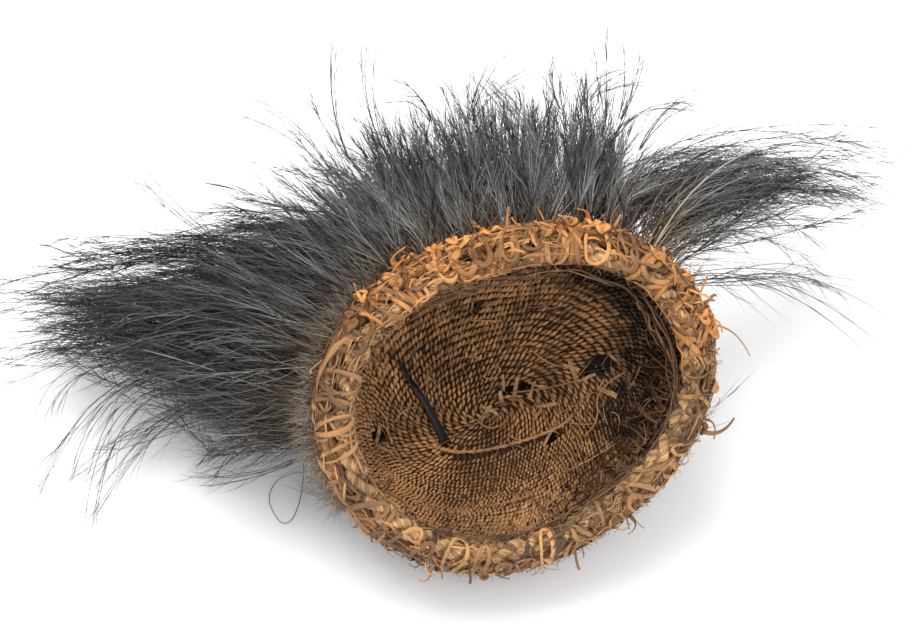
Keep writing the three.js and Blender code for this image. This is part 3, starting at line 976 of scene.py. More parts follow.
# %% Frayed yarns, then the knots
YARNS = 130
t = np.linspace(0, 1, 26)[None, :]
at = dice.uniform(-np.pi, np.pi, YARNS)[:, None]
y_theta = at + dice.uniform(0.12, 0.5, YARNS)[:, None] * t
y_share = dice.uniform(0.02, 0.56, YARNS)[:, None] + ragged(y_theta.shape, 0.014, dice)
y_stand = 0.3 + dice.uniform(0, 0.6, YARNS)[:, None] + ragged(y_theta.shape, 0.3, dice)
frayed = strips(
    "frayed", y_theta, y_share, y_stand, dice.uniform(0.6, 1.7, YARNS)[:, None],
    dice.beta(0.8, 0.8, YARNS), flat=0.6, sides=5, orange=0.5,
)
knots = strips(
    "knots", k_theta, k_share, k_stand, dice.uniform(2.4, 4.0, KNOTS)[:, None],
    dice.uniform(0.2, 1.0, KNOTS), looped=True, flat=0.45,
)
binding = together("vine_binding", [d_loops, wraps, half_wraps, frayed, knots])
finish(binding, vine, "vine", "rim_binding")

# %% [markdown]
# ## Loose ends
# The ends of the strips stick out. The ones that change the rim's outline are placed one by one.
# Hundreds of narrow shreds between them are scattered. Each is a curve with a start, a bend and an
# end, which is the least that looks springy.

# %% Curves with one bend
def bezier(rows, steps):
    """Smooth lines through a start, a bend and an end each: rows (N, 3, 3)."""
    rows = np.asarray(rows, float)
    t = np.linspace(0, 1, steps)[None, :, None]
    return rows[:, None, 0] * (1 - t) ** 2 + rows[:, None, 1] * 2 * t * (1 - t) + rows[:, None, 2] * t * t


def bowed(start, bend, end, steps):
    """The same from rows (N, 3) of starts, bends and ends."""
    return bezier(np.stack([start, bend, end], 1), steps)


def outwards(theta):
    """The way straight out from the cap's axis."""
    return polar(1.0, theta, 0 * theta)


def along_rim(theta):
    """The way along the rim."""
    return np.stack([-np.sin(theta), np.cos(theta), 0 * theta], -1)


# %% Loose ends of vine
# degrees round the rim, share of the outline, then how far the end lies outwards, along the rim and
# towards the opening, how far the middle is thrown sideways, and the width
ENDS = [
    (21, 0.1, 7, 9, 6, 3, 3.0), (25, 0.2, 6, -8, 8, -4, 2.6), (17, 0.05, 8, 3, 3, 4, 2.4),
    (29, 0.3, 3, 10, 7, 4, 3.0), (14, 0.15, 4, -7, 6, 5, 2.6), (12, 0.1, 14, -22, 2, 7, 2.6),
    (-19, 0.05, 16, 10, 5, -9, 3.0), (-24, 0.3, 6, 6, 7, 4, 2.6), (-54, 0.1, 5, -7, 5, 5, 2.4),
    (-123, 0.1, 8, -4, 2, 4, 2.8), (-127, 0.25, 5, 6, 5, -4, 2.4), (124, 0.05, 7, -9, 8, 8, 3.4),
    (121, 0.1, 3, 9, 9, -6, 3.0), (61, 0.05, 6, 8, 7, -5, 3.2), (70, 0.1, 4, -7, 6, 4, 2.8),
    (160, 0.1, 5, 6, 6, 4, 2.2), (196, 0.3, 4, 7, 5, 5, 2.4), (232, 0.2, 4, -6, 5, 3, 2.2),
    (300, 0.2, 4, 7, 5, -4, 2.4), (-8, 0.4, -2, 10, 6, 4, 2.4), (45, 0.4, 0, 9, 7, 4, 2.6),
    (88, 0.35, 0, -8, 7, 3, 2.6), (104, 0.2, 4, 7, 7, -4, 2.8), (345, 0.15, 6, -9, 4, 6, 2.4),
]
END_STEPS = 12
ends = np.array(ENDS, float)
theta = np.radians(ends[:, 0])
root, way = on_rim(theta, ends[:, 1], 0.4)
tip = root + outwards(theta) * ends[:, 2:3] + along_rim(theta) * ends[:, 3:4] + (0, 0, 1) * ends[:, 4:5]
bend = (root + tip) / 2 + way * 5 + along_rim(theta) * ends[:, 5:6]
end_wide = ends[:, 6:7] / 2 * np.linspace(0.9, 0.55, END_STEPS)
end_rings = tubes(to_room(bowed(root, bend, tip, END_STEPS)), end_wide, 6, 0.35, turned(way)[:, None])
dice = np.random.default_rng(41)
end_hue = np.clip(0.35 + 0.6 * on_top(theta), 0, 1)[:, None]
loose_ends = strand_mesh("loose_ends", end_rings, dice.uniform(0.25, 0.9, len(ends)), end_hue, end="flat")

# %% Shreds
SHREDS = 260
theta = scattered(SHREDS, 0.4)[:, 0]
root, way = on_rim(theta, dice.uniform(-0.12, 0.4, SHREDS), 0.3)
tangent = along_rim(theta)
long = dice.uniform(4, 12, (SHREDS, 1))
lie = tangent * dice.normal(0, 1, (SHREDS, 1)) + way * dice.uniform(0.05, 0.8, (SHREDS, 1))
tip = root + unit(lie + dice.normal(0, 0.35, (SHREDS, 3))) * long
bend = (root + tip) / 2 + way * dice.uniform(0.5, 3, (SHREDS, 1))
bend = bend + tangent * dice.normal(0, 1.5, (SHREDS, 1))
shred_wide = dice.uniform(0.25, 0.8, (SHREDS, 1))
shred_rings = tubes(to_room(bowed(root, bend, tip, 7)), shred_wide, 4, 0.4, turned(way)[:, None])
shred_hue = np.clip(0.25 + 0.6 * on_top(theta) + dice.normal(0, 0.15, SHREDS), 0, 1)[:, None]
shreds = strand_mesh("shreds", shred_rings, dice.uniform(0.0, 1.0, SHREDS), shred_hue, end="flat")
finish(together("loose_ends", [loose_ends, shreds]), vine, "vine")

# %% [markdown]
# ## Felted roots
# Where feathers are tied on close together, their roots and old down mat into a dark felt over the
# wall. It stops light from shining through the torn places. It is one more sheet of faces, made
# thick. It leaves the wall's upper edge bare in front, where no feathers are tied.

# %% Felt
FELT_TURNS, FELT_ROWS = 150, 34
FELT_OUT = 2.6  # millimetres off the wall
felt_theta = round_turn(FELT_TURNS)
felt_degrees = np.degrees(felt_theta)
bare_front = np.maximum(between(felt_degrees, 210, 400, 20), between(felt_degrees, -40, 12, 20))
felt_top = 0.03 + 0.42 * bare_front
felt_along = felt_top[None, :] + (0.99 - felt_top)[None, :] * np.linspace(0, 1, FELT_ROWS)[:, None]
skin = wall_skin(felt_theta[None, :], felt_along)
felt_stand = FELT_OUT + 0.45 * uneven(skin * 1.7)
felt_stand = felt_stand + 0.3 * np.sin(skin[..., 0] / 2.3) * np.sin(skin[..., 1] / 2.9)
felt_grid = wall_point(felt_theta[None, :], felt_along, felt_stand)
root_felt = bowl_of_faces("root_felt", felt_grid, wall_point(0.0, 1.0, FELT_OUT))
thicken(root_felt, 0.9, 1.0)


# %% Felt finish
def mottled_material(name, stops, scale, detail, roughness, specular, relief, depth):
    """One noise gives both the colour and the relief."""
    material, nodes, links, shader = new_material(name, roughness, specular)
    noise = object_noise(nodes, links, scale, detail)
    links.new(ramped(nodes, links, noise, stops), shader.inputs["Base Color"])
    add_relief(nodes, links, shader, noise, relief, depth)
    return material


dark_felt = mottled_material(
    "dark_felt", [(0.3, linear(16, 13, 11)), (0.7, linear(46, 38, 31))], 420.0, 4.0, 0.95, 0.15, 0.9, 0.001,
)
finish(root_felt, dark_felt, "feather")

# %% [markdown]
# ## Feathers
# These feathers are like hair: a thin shaft with long loose barbs and nothing that hooks them
# together. Each shaft is a curve with a start, a bend and a tip, and the tips of a bunch follow one
# line in the air, just as the solid bunches do. Barbs leave the shaft at a slant, turn forwards and
# droop. Any that would stand over the opening is left out.

# %% Bunches
BUNCHES = {  # from, to degrees; top, low share; lean; line of the tips; shafts; barbs on each
    "feathers_left": (189, 150, 0.02, 0.44, (-0.5, 0.35, 0.05), [
        (-146, 128, -8), (-212, 151, 4), (-266, 166, 24), (-244, 159, 47),
    ], 296, 37),
    "feathers_upper_left": (154, 104, 0.02, 0.5, (-0.1, 0.35, 0.25), [
        (-224, 150, 62), (-174, 145, 86), (-119, 145, 109), (-61, 150, 130), (-34, 149, 146),
    ], 290, 36),
    "feathers_top": (118, 47, 0.02, 0.5, (0, 0.45, 0.3), [
        (-58, 147, 142), (-6, 141, 166), (42, 134, 188), (90, 137, 186),
    ], 235, 34),
    "plume_right": (50, 26, 0.15, 0.44, (0.3, 0.5, 0.05), [
        (194, 149, 82), (251, 175, 60), (265, 166, 47), (239, 160, 42),
    ], 95, 44),
    "feathers_back": (-10, 180, 0.5, 0.88, (0, 0.7, -0.1), [
        (105, 172, -40), (35, 200, -40), (-55, 200, -40), (-125, 172, -40),
    ], 190, 34),
    "feathers_under": (226, 340, 0.2, 0.8, (0, 0.9, -0.2), [
        (-105, 60, -8), (-45, 50, -8), (40, 50, -8), (115, 75, -4),
    ], 110, 26),
}
rim_on_floor = rim_centre * (1, 1, 0)  # the tips are given from below the rim's centre
print("bunches:", ", ".join(BUNCHES))


# %% Where a strand may not go
LIMIT_LOW = np.array([-281.0, -142.0, 0.4])
LIMIT_HIGH = np.array([281.0, 142.0, 202.0])
LOWEST = 0.8  # millimetres over the floor


def to_cap(points):
    """Room points in the cap's own frame."""
    p = points - rim_centre
    return np.stack([p @ ACROSS, p @ UP_THE_RIM, p @ OPENING], -1)


def outside_cap(points):
    """True where a point is neither in the bowl nor over its rim."""
    p = to_cap(points)
    theta = np.arctan2(p[..., 1], p[..., 0])
    r = np.hypot(p[..., 0], p[..., 1])
    down = -p[..., 2]
    wall = (rim_reach(theta) - WALL_INSET) * np.interp(down, table_row[:, 0], table_row[:, 1])
    in_bowl = (down > 10) & (down < 88) & (r < wall + 0.6)
    over = (down <= 12) & (r < rim_reach(theta) + 1.2)
    return ~(in_bowl | over)


def inside_limits(points):
    """True where a point is in the box that the dressed model may fill."""
    return np.all((points > LIMIT_LOW) & (points < LIMIT_HIGH), axis=-1)


def settle(points, dice):
    """Nothing sinks into the floor: strands that would lie on it, one over another."""
    lie_at = LOWEST + dice.uniform(0, 5, points.shape[0])[:, None]
    z = points[..., 2]
    pressed = lie_at - (lie_at - LOWEST) * smooth((lie_at - z) / 30)
    points[..., 2] = np.where(z < lie_at, pressed, z)
    return points


# %% Shafts of a bunch
TUFT = 5  # shafts in a tuft, about
BEND = 0.35  # how far along a shaft its bend lies
DARKER = {  # how much darker a bunch is, and how much more where it starts
    "feathers_left": (0.5, 0.32), "feathers_upper_left": (0.34, 0.0), "plume_right": (0.32, 0.0),
}


def shafts_of(name, dice):
    """Shafts stand in tufts. Gives their lines and each one's tone."""
    low_deg, high_deg, top, low, lean, edge, count, _ = BUNCHES[name]
    tufts = max(count // TUFT, 4)
    tuft = dice.integers(0, tufts, count)
    tuft_share = (np.arange(tufts) + dice.uniform(0, 1, tufts)) / tufts * 1.08 - 0.04
    tuft_along = dice.uniform(top, low, tufts)
    tuft_start = dice.normal(0, 0.32, (tufts, 3))
    tuft_tip = dice.normal(0, 1, (tufts, 3)) * (13, 9, 13)
    tuft_part = 1.07 - 0.55 * dice.beta(1.2, 1.9, tufts)
    share = tuft_share[tuft] + dice.normal(0, 0.012, count)
    theta = np.radians(low_deg + (high_deg - low_deg) * share)
    along = np.clip(tuft_along[tuft] + dice.normal(0, 0.02, count), 0, 0.95)
    normal = turned(wall_normal(theta, along))
    root = to_room(wall_point(theta, along, 1.2))
    wild = np.where(dice.uniform(0, 1, count) < 0.28, 2.6, 1.0)[:, None]
    start = unit(normal + np.array(lean) + tuft_start[tuft] + wild * dice.normal(0, 0.14, (count, 3)))
    full = rim_on_floor + through(np.array(edge, float), np.clip(share + dice.normal(0, 0.04, count), 0, 1))
    full = full + tuft_tip[tuft] + wild * dice.normal(0, 1, (count, 3)) * (8, 6, 7)
    part = tuft_part[tuft] * dice.uniform(0.8, 1.02, count)
    tip = root + (full - root) * part[:, None]
    long = np.linalg.norm(tip - root, axis=1, keepdims=True)
    bend = root + start * BEND * long + dice.normal(0, 0.05, (count, 3)) * long
    lines = settle(bowed(root, bend, tip, 14), dice)
    good = outside_cap(lines[:, 2:]).all(1) & inside_limits(lines[:, -4:]).all(1)
    darker, at_start = DARKER.get(name, (0.0, 0.0))
    darker = darker + at_start * (1 - share)
    tone = dice.beta(0.6, 0.95, tufts)[tuft] + dice.normal(0, 0.16, count) - darker
    return lines[good], np.clip(tone[good], 0, 1)


# %% Barbs on shafts
def barbs_of(lines, each, dice):
    """Barbs on shafts (N, K, 3), and where on its shaft each one starts."""
    count = len(lines) * each
    owner = np.repeat(np.arange(len(lines)), each)
    where = dice.beta(1.15, 1.0, count) * 0.95 + 0.03
    steps = lines.shape[1] - 1
    i = np.minimum((where * steps).astype(int), steps - 1)
    f = (where * steps - i)[:, None]
    start = lines[owner, i] * (1 - f) + lines[owner, i + 1] * f
    ahead = unit(lines[owner, i + 1] - lines[owner, i])
    later = unit(lines[owner, -1] - lines[owner, i])
    sideways = unit(np.cross(ahead, dice.normal(0, 1, (count, 3))))
    angle = np.radians(dice.uniform(6, 38, count) * (1.1 - 0.55 * where))[:, None]
    first = ahead * np.cos(angle) + sideways * np.sin(angle)
    spread = dice.normal(0, 0.13, (count, 3))
    last = unit(later + sideways * np.sin(angle) * dice.uniform(0.0, 0.8, (count, 1)) + spread)
    span = np.linalg.norm(lines[:, -1] - lines[:, 0], axis=1)[owner]
    long = dice.uniform(20, 66, count) * np.clip(span / 130, 0.6, 1.1) * (1.12 - 0.62 * where)
    long = long[:, None, None]
    s = np.array([0.0, 0.34, 0.68, 1.0])[None, :, None]
    points = start[:, None] + long * (first[:, None] * (s - s * s / 2) + last[:, None] * s * s / 2)
    points[..., 2] -= (s * s)[..., 0] * dice.uniform(0.0, 0.14, count)[:, None] * long[..., 0]
    points = settle(points, dice)
    good = (outside_cap(points) & inside_limits(points)).all(1)
    return points[good], where[good], owner[good]


BARB_RADIUS = np.array([[0.17, 0.14, 0.1, 0.06]])
BARB_AHEAD = np.array([[0.0, 0.08, 0.2]])  # a barb's colours run a little ahead of its shaft's


def barb_hairs(name, barbs, radius, tone, where):
    """Barbs as strands, coloured by where on its shaft each one starts."""
    return hairs(name, barbs, radius, tone, np.clip(where[:, None] + BARB_AHEAD, 0, 1))


# %% Feather finish
# The light ramp's silver grey is partly the feathers' own grey and partly painted sheen, the glints on fine
# hair; the tan at the root is the down's own colour.
feather_black = strand_material(
    "feather_black",
    [(0, linear(124, 98, 72)), (0.16, linear(66, 56, 48)), (0.34, linear(17, 17, 18)),
     (1, linear(9, 9, 10))],
    [(0, linear(222, 194, 158)), (0.17, linear(176, 160, 140)), (0.38, linear(186, 186, 184)),
     (1, linear(122, 124, 127))],
    0.4, specular=0.2,
)
print("a feather finish made: tan at the root, then black or grey")


# %% Dress the bunches
def bunch_piece(name, seed):
    """A bunch's shafts, some of them thicker and silver, a colour that is partly painted sheen, and all
    their barbs, as one piece.
    """
    dice = np.random.default_rng(seed)
    lines, shaft_tone = shafts_of(name, dice)
    count = len(lines)
    # Silver shafts: a light tone that is partly the shafts' own grey and partly painted sheen.
    silver = dice.uniform(0, 1, count) < 0.2 * (0.3 + shaft_tone)
    thin = np.linspace(0.36, 0.12, lines.shape[1])[None, :] * dice.uniform(0.8, 1.2, (count, 1))
    thin = thin * np.where(silver, 1.5, 1.0)[:, None]
    shown_tone = np.where(silver, 0.78, np.clip(shaft_tone + 0.05, 0, 1))
    shafts = hairs(name + "_shafts", lines, thin, shown_tone)
    barbs, where, owner = barbs_of(lines, BUNCHES[name][7], dice)
    fine = BARB_RADIUS * dice.uniform(0.8, 1.2, (len(barbs), 1))
    tone = 0.1 + 0.7 * shaft_tone[owner] + 0.6 * (dice.beta(0.5, 0.8, len(barbs)) - 0.3)
    barb_piece = barb_hairs(name + "_barbs", barbs, fine, np.clip(tone, 0, 1) ** 1.2, where)
    return together(name + "_hair", [shafts, barb_piece])


for seed, name in enumerate(BUNCHES):
    hair = bunch_piece(name, 100 + seed)
    finish(hair, feather_black, "feather", name)

# %% [markdown]
# ## Short feathers that cover the felt
# Between the long bunches the whole back of the cap is covered in short feathers that lie down
# towards the crown, and a band stands up along the rim. They are the same shafts and barbs, shorter,
# and scattered over the wall instead of tied in tufts.

# %% Short feathers
def cover_lines(count, dice):
    """Short shafts all over the back: about half stand near the rim, and the others lie down."""
    near_rim = dice.uniform(0, 1, count) < 0.48
    theta = np.radians(np.where(near_rim, dice.uniform(56, 166, count), dice.uniform(-8, 178, count)))
    along = np.where(near_rim, dice.uniform(0.0, 0.3, count), dice.uniform(0.2, 0.92, count))
    theta[:26] = np.radians(dice.uniform(62, 90, 26))  # a thin place above the rim
    near_rim[:26], along[:26] = True, dice.uniform(0.0, 0.12, 26)
    beside = np.abs(np.degrees(theta) - 88) > 66
    along = np.where(beside & ~near_rim, np.maximum(along, 0.62), along)
    root = wall_point(theta, along, 2.0)
    down_wall = unit(wall_skin(theta, along + 0.03) - wall_skin(theta, along))
    lying = np.where(near_rim, 0.15, 0.9)[:, None]
    start = wall_normal(theta, along) * (1.1 - lying) + down_wall * lying
    start = unit(start + dice.normal(0, 0.22, (count, 3)))
    long = np.where(near_rim, dice.uniform(40, 85, count), dice.uniform(35, 70, count))[:, None]
    root, start = to_room(root), turned(start)
    end_way = unit(start + 0.5 * (outwards(theta) * (0.55, 0.35, 0)) + (0, 0.1, -0.15))
    tip = root + 0.45 * start * long + 0.55 * end_way * long
    return settle(bowed(root, root + start * 0.45 * long, tip, 10), dice)


dice = np.random.default_rng(120)
lines = cover_lines(520, dice)
lines = lines[outside_cap(lines[:, 1:]).all(1) & inside_limits(lines).all(1)]
cover_tone = np.clip(dice.beta(0.8, 1.3, len(lines)), 0, 1)
cover_shafts = hairs("cover_shafts", lines, np.linspace(0.3, 0.1, 10)[None, :], cover_tone)
barbs, where, owner = barbs_of(lines, 20, dice)
tone = np.clip(cover_tone[owner] + dice.normal(0, 0.15, len(barbs)), 0, 1)
cover_barbs = barb_hairs("cover_barbs", barbs, BARB_RADIUS, tone, where)
finish(together("cover_hair", [cover_shafts, cover_barbs]), feather_black, "feather")

# %% [markdown]
# ## Stray feathers
# A few long hairs leave the mass: some droop to the floor on the left, some stand up at the back,
# and a few trail on the right. They decide how the outline reads, so each has its own start, bend
# and tip. One hair lies on the floor in a loop.

# %% Where the strays go
# start, bend and tip of each, in the room's millimetres from below the rim's centre
DROOPING = [
    ((-148, 82, 60), (-208, 125, 45), (-249, 60, 3)), ((-146, 82, 55), (-206, 118, 40), (-230, 68, 3)),
    ((-155, 83, 50), (-205, 102, 38), (-221, 29, 3)), ((-142, 79, 45), (-183, 90, 30), (-227, 69, 3)),
    ((-148, 79, 40), (-184, 84, 25), (-223, 40, 3)), ((-169, 107, 45), (-222, 133, 35), (-236, 111, 3)),
    ((-135, 70, 40), (-174, 75, 25), (-213, 88, 4)), ((-127, 54, 40), (-151, 68, 20), (-164, 62, 3)),
    ((-125, 52, 35), (-141, 57, 20), (-154, 57, 3)), ((-173, 107, 50), (-226, 148, 35), (-255, 156, 4)),
    ((-103, 33, 40), (-133, 44, 10), (-159, 57, 2)),
]
STANDING = [
    ((-42, 140, 150), (-56, 142, 190), (-45, 180, 200)),
    ((-60, 146, 140), (-70, 155, 170), (-61, 179, 195)),
    ((-135, 148, 90), (-157, 170, 95), (-178, 215, 92)),
    ((-71, 140, 140), (-83, 165, 155), (-106, 198, 140)),
    ((2, 133, 170), (8, 139, 185), (22, 148, 196)), ((48, 127, 175), (43, 140, 185), (47, 143, 194)),
    ((77, 114, 175), (90, 128, 180), (95, 141, 190)), ((80, 114, 170), (97, 130, 170), (127, 135, 150)),
    ((-17, 142, 165), (-21, 150, 180), (-29, 150, 185)), ((62, 121, 185), (69, 129, 190), (90, 134, 190)),
    ((89, 114, 150), (106, 131, 160), (128, 141, 150)), ((27, 125, 180), (28, 133, 190), (22, 127, 195)),
]
TRAILING = [
    ((111, 75, 90), (177, 99, 60), (232, 70, 4)), ((115, 71, 85), (183, 103, 60), (221, 107, 8)),
    ((114, 75, 85), (169, 94, 60), (206, 111, 20)), ((112, 77, 80), (165, 96, 50), (195, 123, 20)),
]
STRAY_POINTS = 18
stray_lines = rim_on_floor + bezier(DROOPING + STANDING + TRAILING, STRAY_POINTS)
print("strays placed one by one:", len(stray_lines))

# %% Strays, each with two fainter companions
dice = np.random.default_rng(51)
parting = np.linspace(0.2, 2, STRAY_POINTS)[None, :, None]
copies = [stray_lines]
for _ in range(2):
    aside = dice.normal(0, 1, (len(stray_lines), 1, 3)) * (3, 3, 1.2)
    copies.append(stray_lines + aside * parting)
stray_lines = settle(np.concatenate(copies), dice)
stray_lines = np.clip(stray_lines, LIMIT_LOW, LIMIT_HIGH)
strays = hairs(
    "stray_hairs", stray_lines, np.linspace(0.32, 0.12, STRAY_POINTS)[None, :],
    dice.uniform(0.0, 0.4, len(stray_lines)), np.linspace(0.4, 1, STRAY_POINTS - 1), 4,
)
stray_barbs, where, _ = barbs_of(stray_lines, 7, dice)
wisps = hairs(
    "wisps", stray_barbs, np.array([[0.15, 0.13, 0.1, 0.06]]), dice.uniform(0.0, 0.5, len(stray_barbs)),
    np.clip(where[:, None] + np.array([[0.4, 0.5, 0.6]]), 0, 1),
)

# %% The hair in a loop
LOOP_POINTS = 50
hair_loop = rim_on_floor + through([
    (-98, 49, 3), (-112, 51, 1.4), (-122, 47, 1.2), (-127, 35, 1.2), (-123, 21, 1.2), (-117, 21, 1.2),
    (-111, 32, 1.2), (-107, 46, 1.6), (-105, 56, 4),
], np.linspace(0, 1, LOOP_POINTS))
loop_piece = hairs("hair_loop", hair_loop[None], 0.22, 0.2, np.linspace(0.5, 1, LOOP_POINTS - 1), 4)
finish(together("stray_hairs", [strays, wisps, loop_piece]), feather_black, "feather")

# %% [markdown]
# ## Down at the roots
# Where the bunches are tied in, pale down shows beside the rim on the left. It is thousands of hairs
# of two centimetres at most, so each has only three rings and a point.

# %% Down beside the rim
DOWN = 3000
dice = np.random.default_rng(61)
theta = np.radians(np.clip(dice.normal(170, 21, DOWN), 112, 204))
along = dice.uniform(0.0, 0.2, DOWN)
root = wall_point(theta, along, dice.uniform(0.5, 6, DOWN))
grow = unit(wall_normal(theta, along) + dice.normal(0, 0.45, (DOWN, 3)) + (0, 0, 0.1))
long = dice.uniform(8, 22, (DOWN, 1))
bend = root + grow * long * 0.5
tip = bend + unit(grow + dice.normal(0, 0.5, (DOWN, 3))) * long * 0.6
down_lines = to_room(bowed(root, bend, tip, 4))
down_lines = down_lines[outside_cap(down_lines).all(1)]
down = hairs(
    "root_down", down_lines, np.array([[0.25, 0.21, 0.15, 0.08]]),
    dice.uniform(0.25, 0.95, len(down_lines)), BARB_AHEAD,
)
finish(down, feather_black, "feather")

# %% [markdown]
# ## Broken quill
# A black horn quill is pushed through the wall from outside. Its broad end has split into blades,
# and its thin end is frayed. Flat tubes that start together and part a little give that.

# %% Horn finish
horn_black = strand_material(
    "horn_black",
    [(0, linear(9, 8, 7)), (1, linear(22, 17, 13))],
    [(0, linear(24, 20, 17)), (1, linear(46, 37, 28))],
    0.42, relief=0.5, grain=700.0, specular=0.4,
)
print("a finish for the quill made")

# %% Quill blades
BLADES = [  # sideways bow, sideways spread, width
    (0, 0, 3.6), (1.0, -2.2, 1.9), (-0.6, 2.0, 1.6), (0.5, -1.0, 2.2), (1.6, 1.2, 1.3), (-1.4, 2.6, 1.0),
]
BLADE_TONES = np.array([0.2, 0.5, 0.35, 0.1, 0.7, 0.3])
BLADE_POINTS = 16
foot = wall_point(math.radians(232), 0.755, -5.0)
thin_end = wall_point(math.radians(165), 0.73, -6.0)
whole_way = thin_end - foot
toward = -wall_normal(math.radians(215), 0.8)
quill_side = unit(np.cross(whole_way, toward))
blade_rows = []
for shift, spread, _ in BLADES:
    start = foot + quill_side * spread - toward * 0.3
    reach = 0.97 if shift == 0 else 0.78 + 0.1 * shift
    end = foot + whole_way * reach + quill_side * 0.5 * spread
    blade_rows.append([start, (start + end) / 2 + quill_side * (3.0 + shift) + toward * 1.5, end])
blade_lines = to_room(bezier(blade_rows, BLADE_POINTS))
blade_shape = np.interp(
    np.linspace(0, 1, BLADE_POINTS), [0, 0.12, 0.5, 0.85, 1], [0.75, 1, 0.85, 0.35, 0.12],
)
blade_wide = np.array(BLADES)[:, 2:] / 2 * blade_shape[None]
blade_rings = tubes(blade_lines, blade_wide, 6, 0.34, turned(toward)[None, None])
blades = strand_mesh("quill_blades", blade_rings, BLADE_TONES)

# %% Frayed end of the quill
FRAY = 14
dice = np.random.default_rng(71)
start = foot + whole_way * dice.uniform(0.6, 0.95, (FRAY, 1)) + quill_side * 1.2 + toward * 1.0
end = start + whole_way * dice.uniform(0.12, 0.34, (FRAY, 1)) + quill_side * dice.normal(0, 3.5, (FRAY, 1))
end = end + toward * dice.uniform(-1, 2.5, (FRAY, 1))
fray_lines = to_room(bowed(start, (start + end) / 2 + toward, end, 8))
fray = hairs("quill_fray", fray_lines, np.linspace(0.3, 0.12, 8)[None], dice.uniform(0, 0.6, FRAY), sides=4)
finish(together("quill_blades", [blades, fray]), horn_black, "quill", "broken_quill")

# %% [markdown]
# ## Cane splinters
# Flat splinters of pale cane stick in the torn places. One is shaped: a cube, flattened, cut across
# into lengths, bowed, and bevelled. The others are copies, each with its own mesh, which is turned
# and sized before it is joined.

# %% One splinter
bpy.ops.object.select_all(action="DESELECT")
bpy.ops.mesh.primitive_cube_add(size=1.0)
splinter = bpy.context.object
splinter.name = "splinter"
bpy.ops.object.mode_set(mode="EDIT")
bpy.ops.mesh.select_all(action="SELECT")
bpy.ops.transform.resize(value=(1.0, 0.2, 0.04))
bpy.ops.mesh.subdivide(number_cuts=3)
bpy.ops.object.mode_set(mode="OBJECT")
for vertex in splinter.data.vertices:
    x, y, z = vertex.co
    vertex.co.z = z + 0.1 * (0.25 - x * x)
    vertex.co.y = y * (1 - 0.5 * max(0.0, x)) + 0.02 * math.sin(7 * x)
soften = splinter.modifiers.new("soften", "BEVEL")
soften.width = 0.008
soften.limit_method = "ANGLE"
bpy.ops.object.modifier_apply(modifier="soften")
print("one splinter:", len(splinter.data.polygons), "faces")

# %% All the splinters
SPLINTER_SIZE = 1.05  # all are this much larger than their rows say
SPLINTERS = [  # degrees, share down, length, turn, lift, wide
    (349, 0.79, 13, 20, 2.5, 1.0), (352, 0.80, 9, 70, 2.0, 1.1), (346, 0.74, 10, 120, 2.2, 0.9),
    (358, 0.66, 9, 40, 2.0, 0.9), (344, 0.68, 8, 160, 2.0, 0.8), (341, 0.645, 11, 75, 2.6, 1.2),
    (310, 0.9, 12, 30, 2.4, 0.9), (322, 0.87, 10, 10, 2.0, 0.8), (300, 0.93, 9, 55, 2.2, 0.9),
    (281, 0.9, 8, 80, 2.4, 1.4), (256, 0.875, 10, 60, 2.2, 1.2), (262, 0.88, 9, -30, 2.0, 1.2),
    (198, 0.6, 12, -60, 2.6, 1.0), (202, 0.64, 9, -20, 2.4, 1.0), (195, 0.56, 8, 80, 2.0, 0.9),
    (205, 0.58, 10, 30, 2.4, 0.8), (300, 0.70, 8, 20, 2.0, 0.9), (101, 0.79, 7, 60, 1.6, 0.8),
    (235, 0.74, 9, 10, 1.8, 0.7), (318, 0.80, 12, 130, 2.4, 0.8), (330, 0.86, 9, 100, 2.0, 0.8),
    (192, 0.66, 7, 10, 1.8, 0.9), (215, 0.48, 9, 80, 1.8, 0.7), (226, 0.40, 8, 30, 1.6, 0.7),
]
made = []
for degrees, share, length, turn, lift, wide in SPLINTERS:
    theta = math.radians(degrees)
    middle = wall_point(theta, share, -4.2 - lift * 0.5)
    out_of_wall = -wall_normal(theta, share)
    sideways = unit(np.cross(out_of_wall, np.array([math.cos(theta), math.sin(theta), 0.0])))
    uphill = np.cross(out_of_wall, sideways)
    c, s = math.cos(math.radians(turn)), math.sin(math.radians(turn))
    long_way = unit(sideways * c + uphill * s + out_of_wall * 0.18)
    wide_way = unit(np.cross(out_of_wall, long_way))
    thick_way = np.cross(long_way, wide_way)
    copy = splinter.copy()
    copy.data = splinter.data.copy()
    bpy.context.scene.collection.objects.link(copy)
    for vertex in copy.data.vertices:
        x, y, z = vertex.co
        local = middle + SPLINTER_SIZE * length * (x * long_way + wide * y * wide_way + z * thick_way)
        vertex.co = Vector(to_room(local) * MM)
    made.append(copy)
bpy.data.objects.remove(splinter)
splinters = together("cane_splinters", made)
pale_cane = mottled_material(
    "pale_cane", [(0.3, linear(96, 64, 38)), (0.55, linear(164, 122, 80)), (0.75, linear(196, 156, 108))],
    260.0, 5.0, 0.6, 0.5, 0.4, 0.0005,
)
finish(splinters, pale_cane, "cord")
print("cane_splinters:", len(made))

# %% [markdown]
# ## Yarns under the rim
# Brown yarns run round just under the pale cord, broken and sagging, most of all along the upper
# edge. Behind them whole yarns are packed close, and they close the slit between the rim and the
# wall, where light would come through.

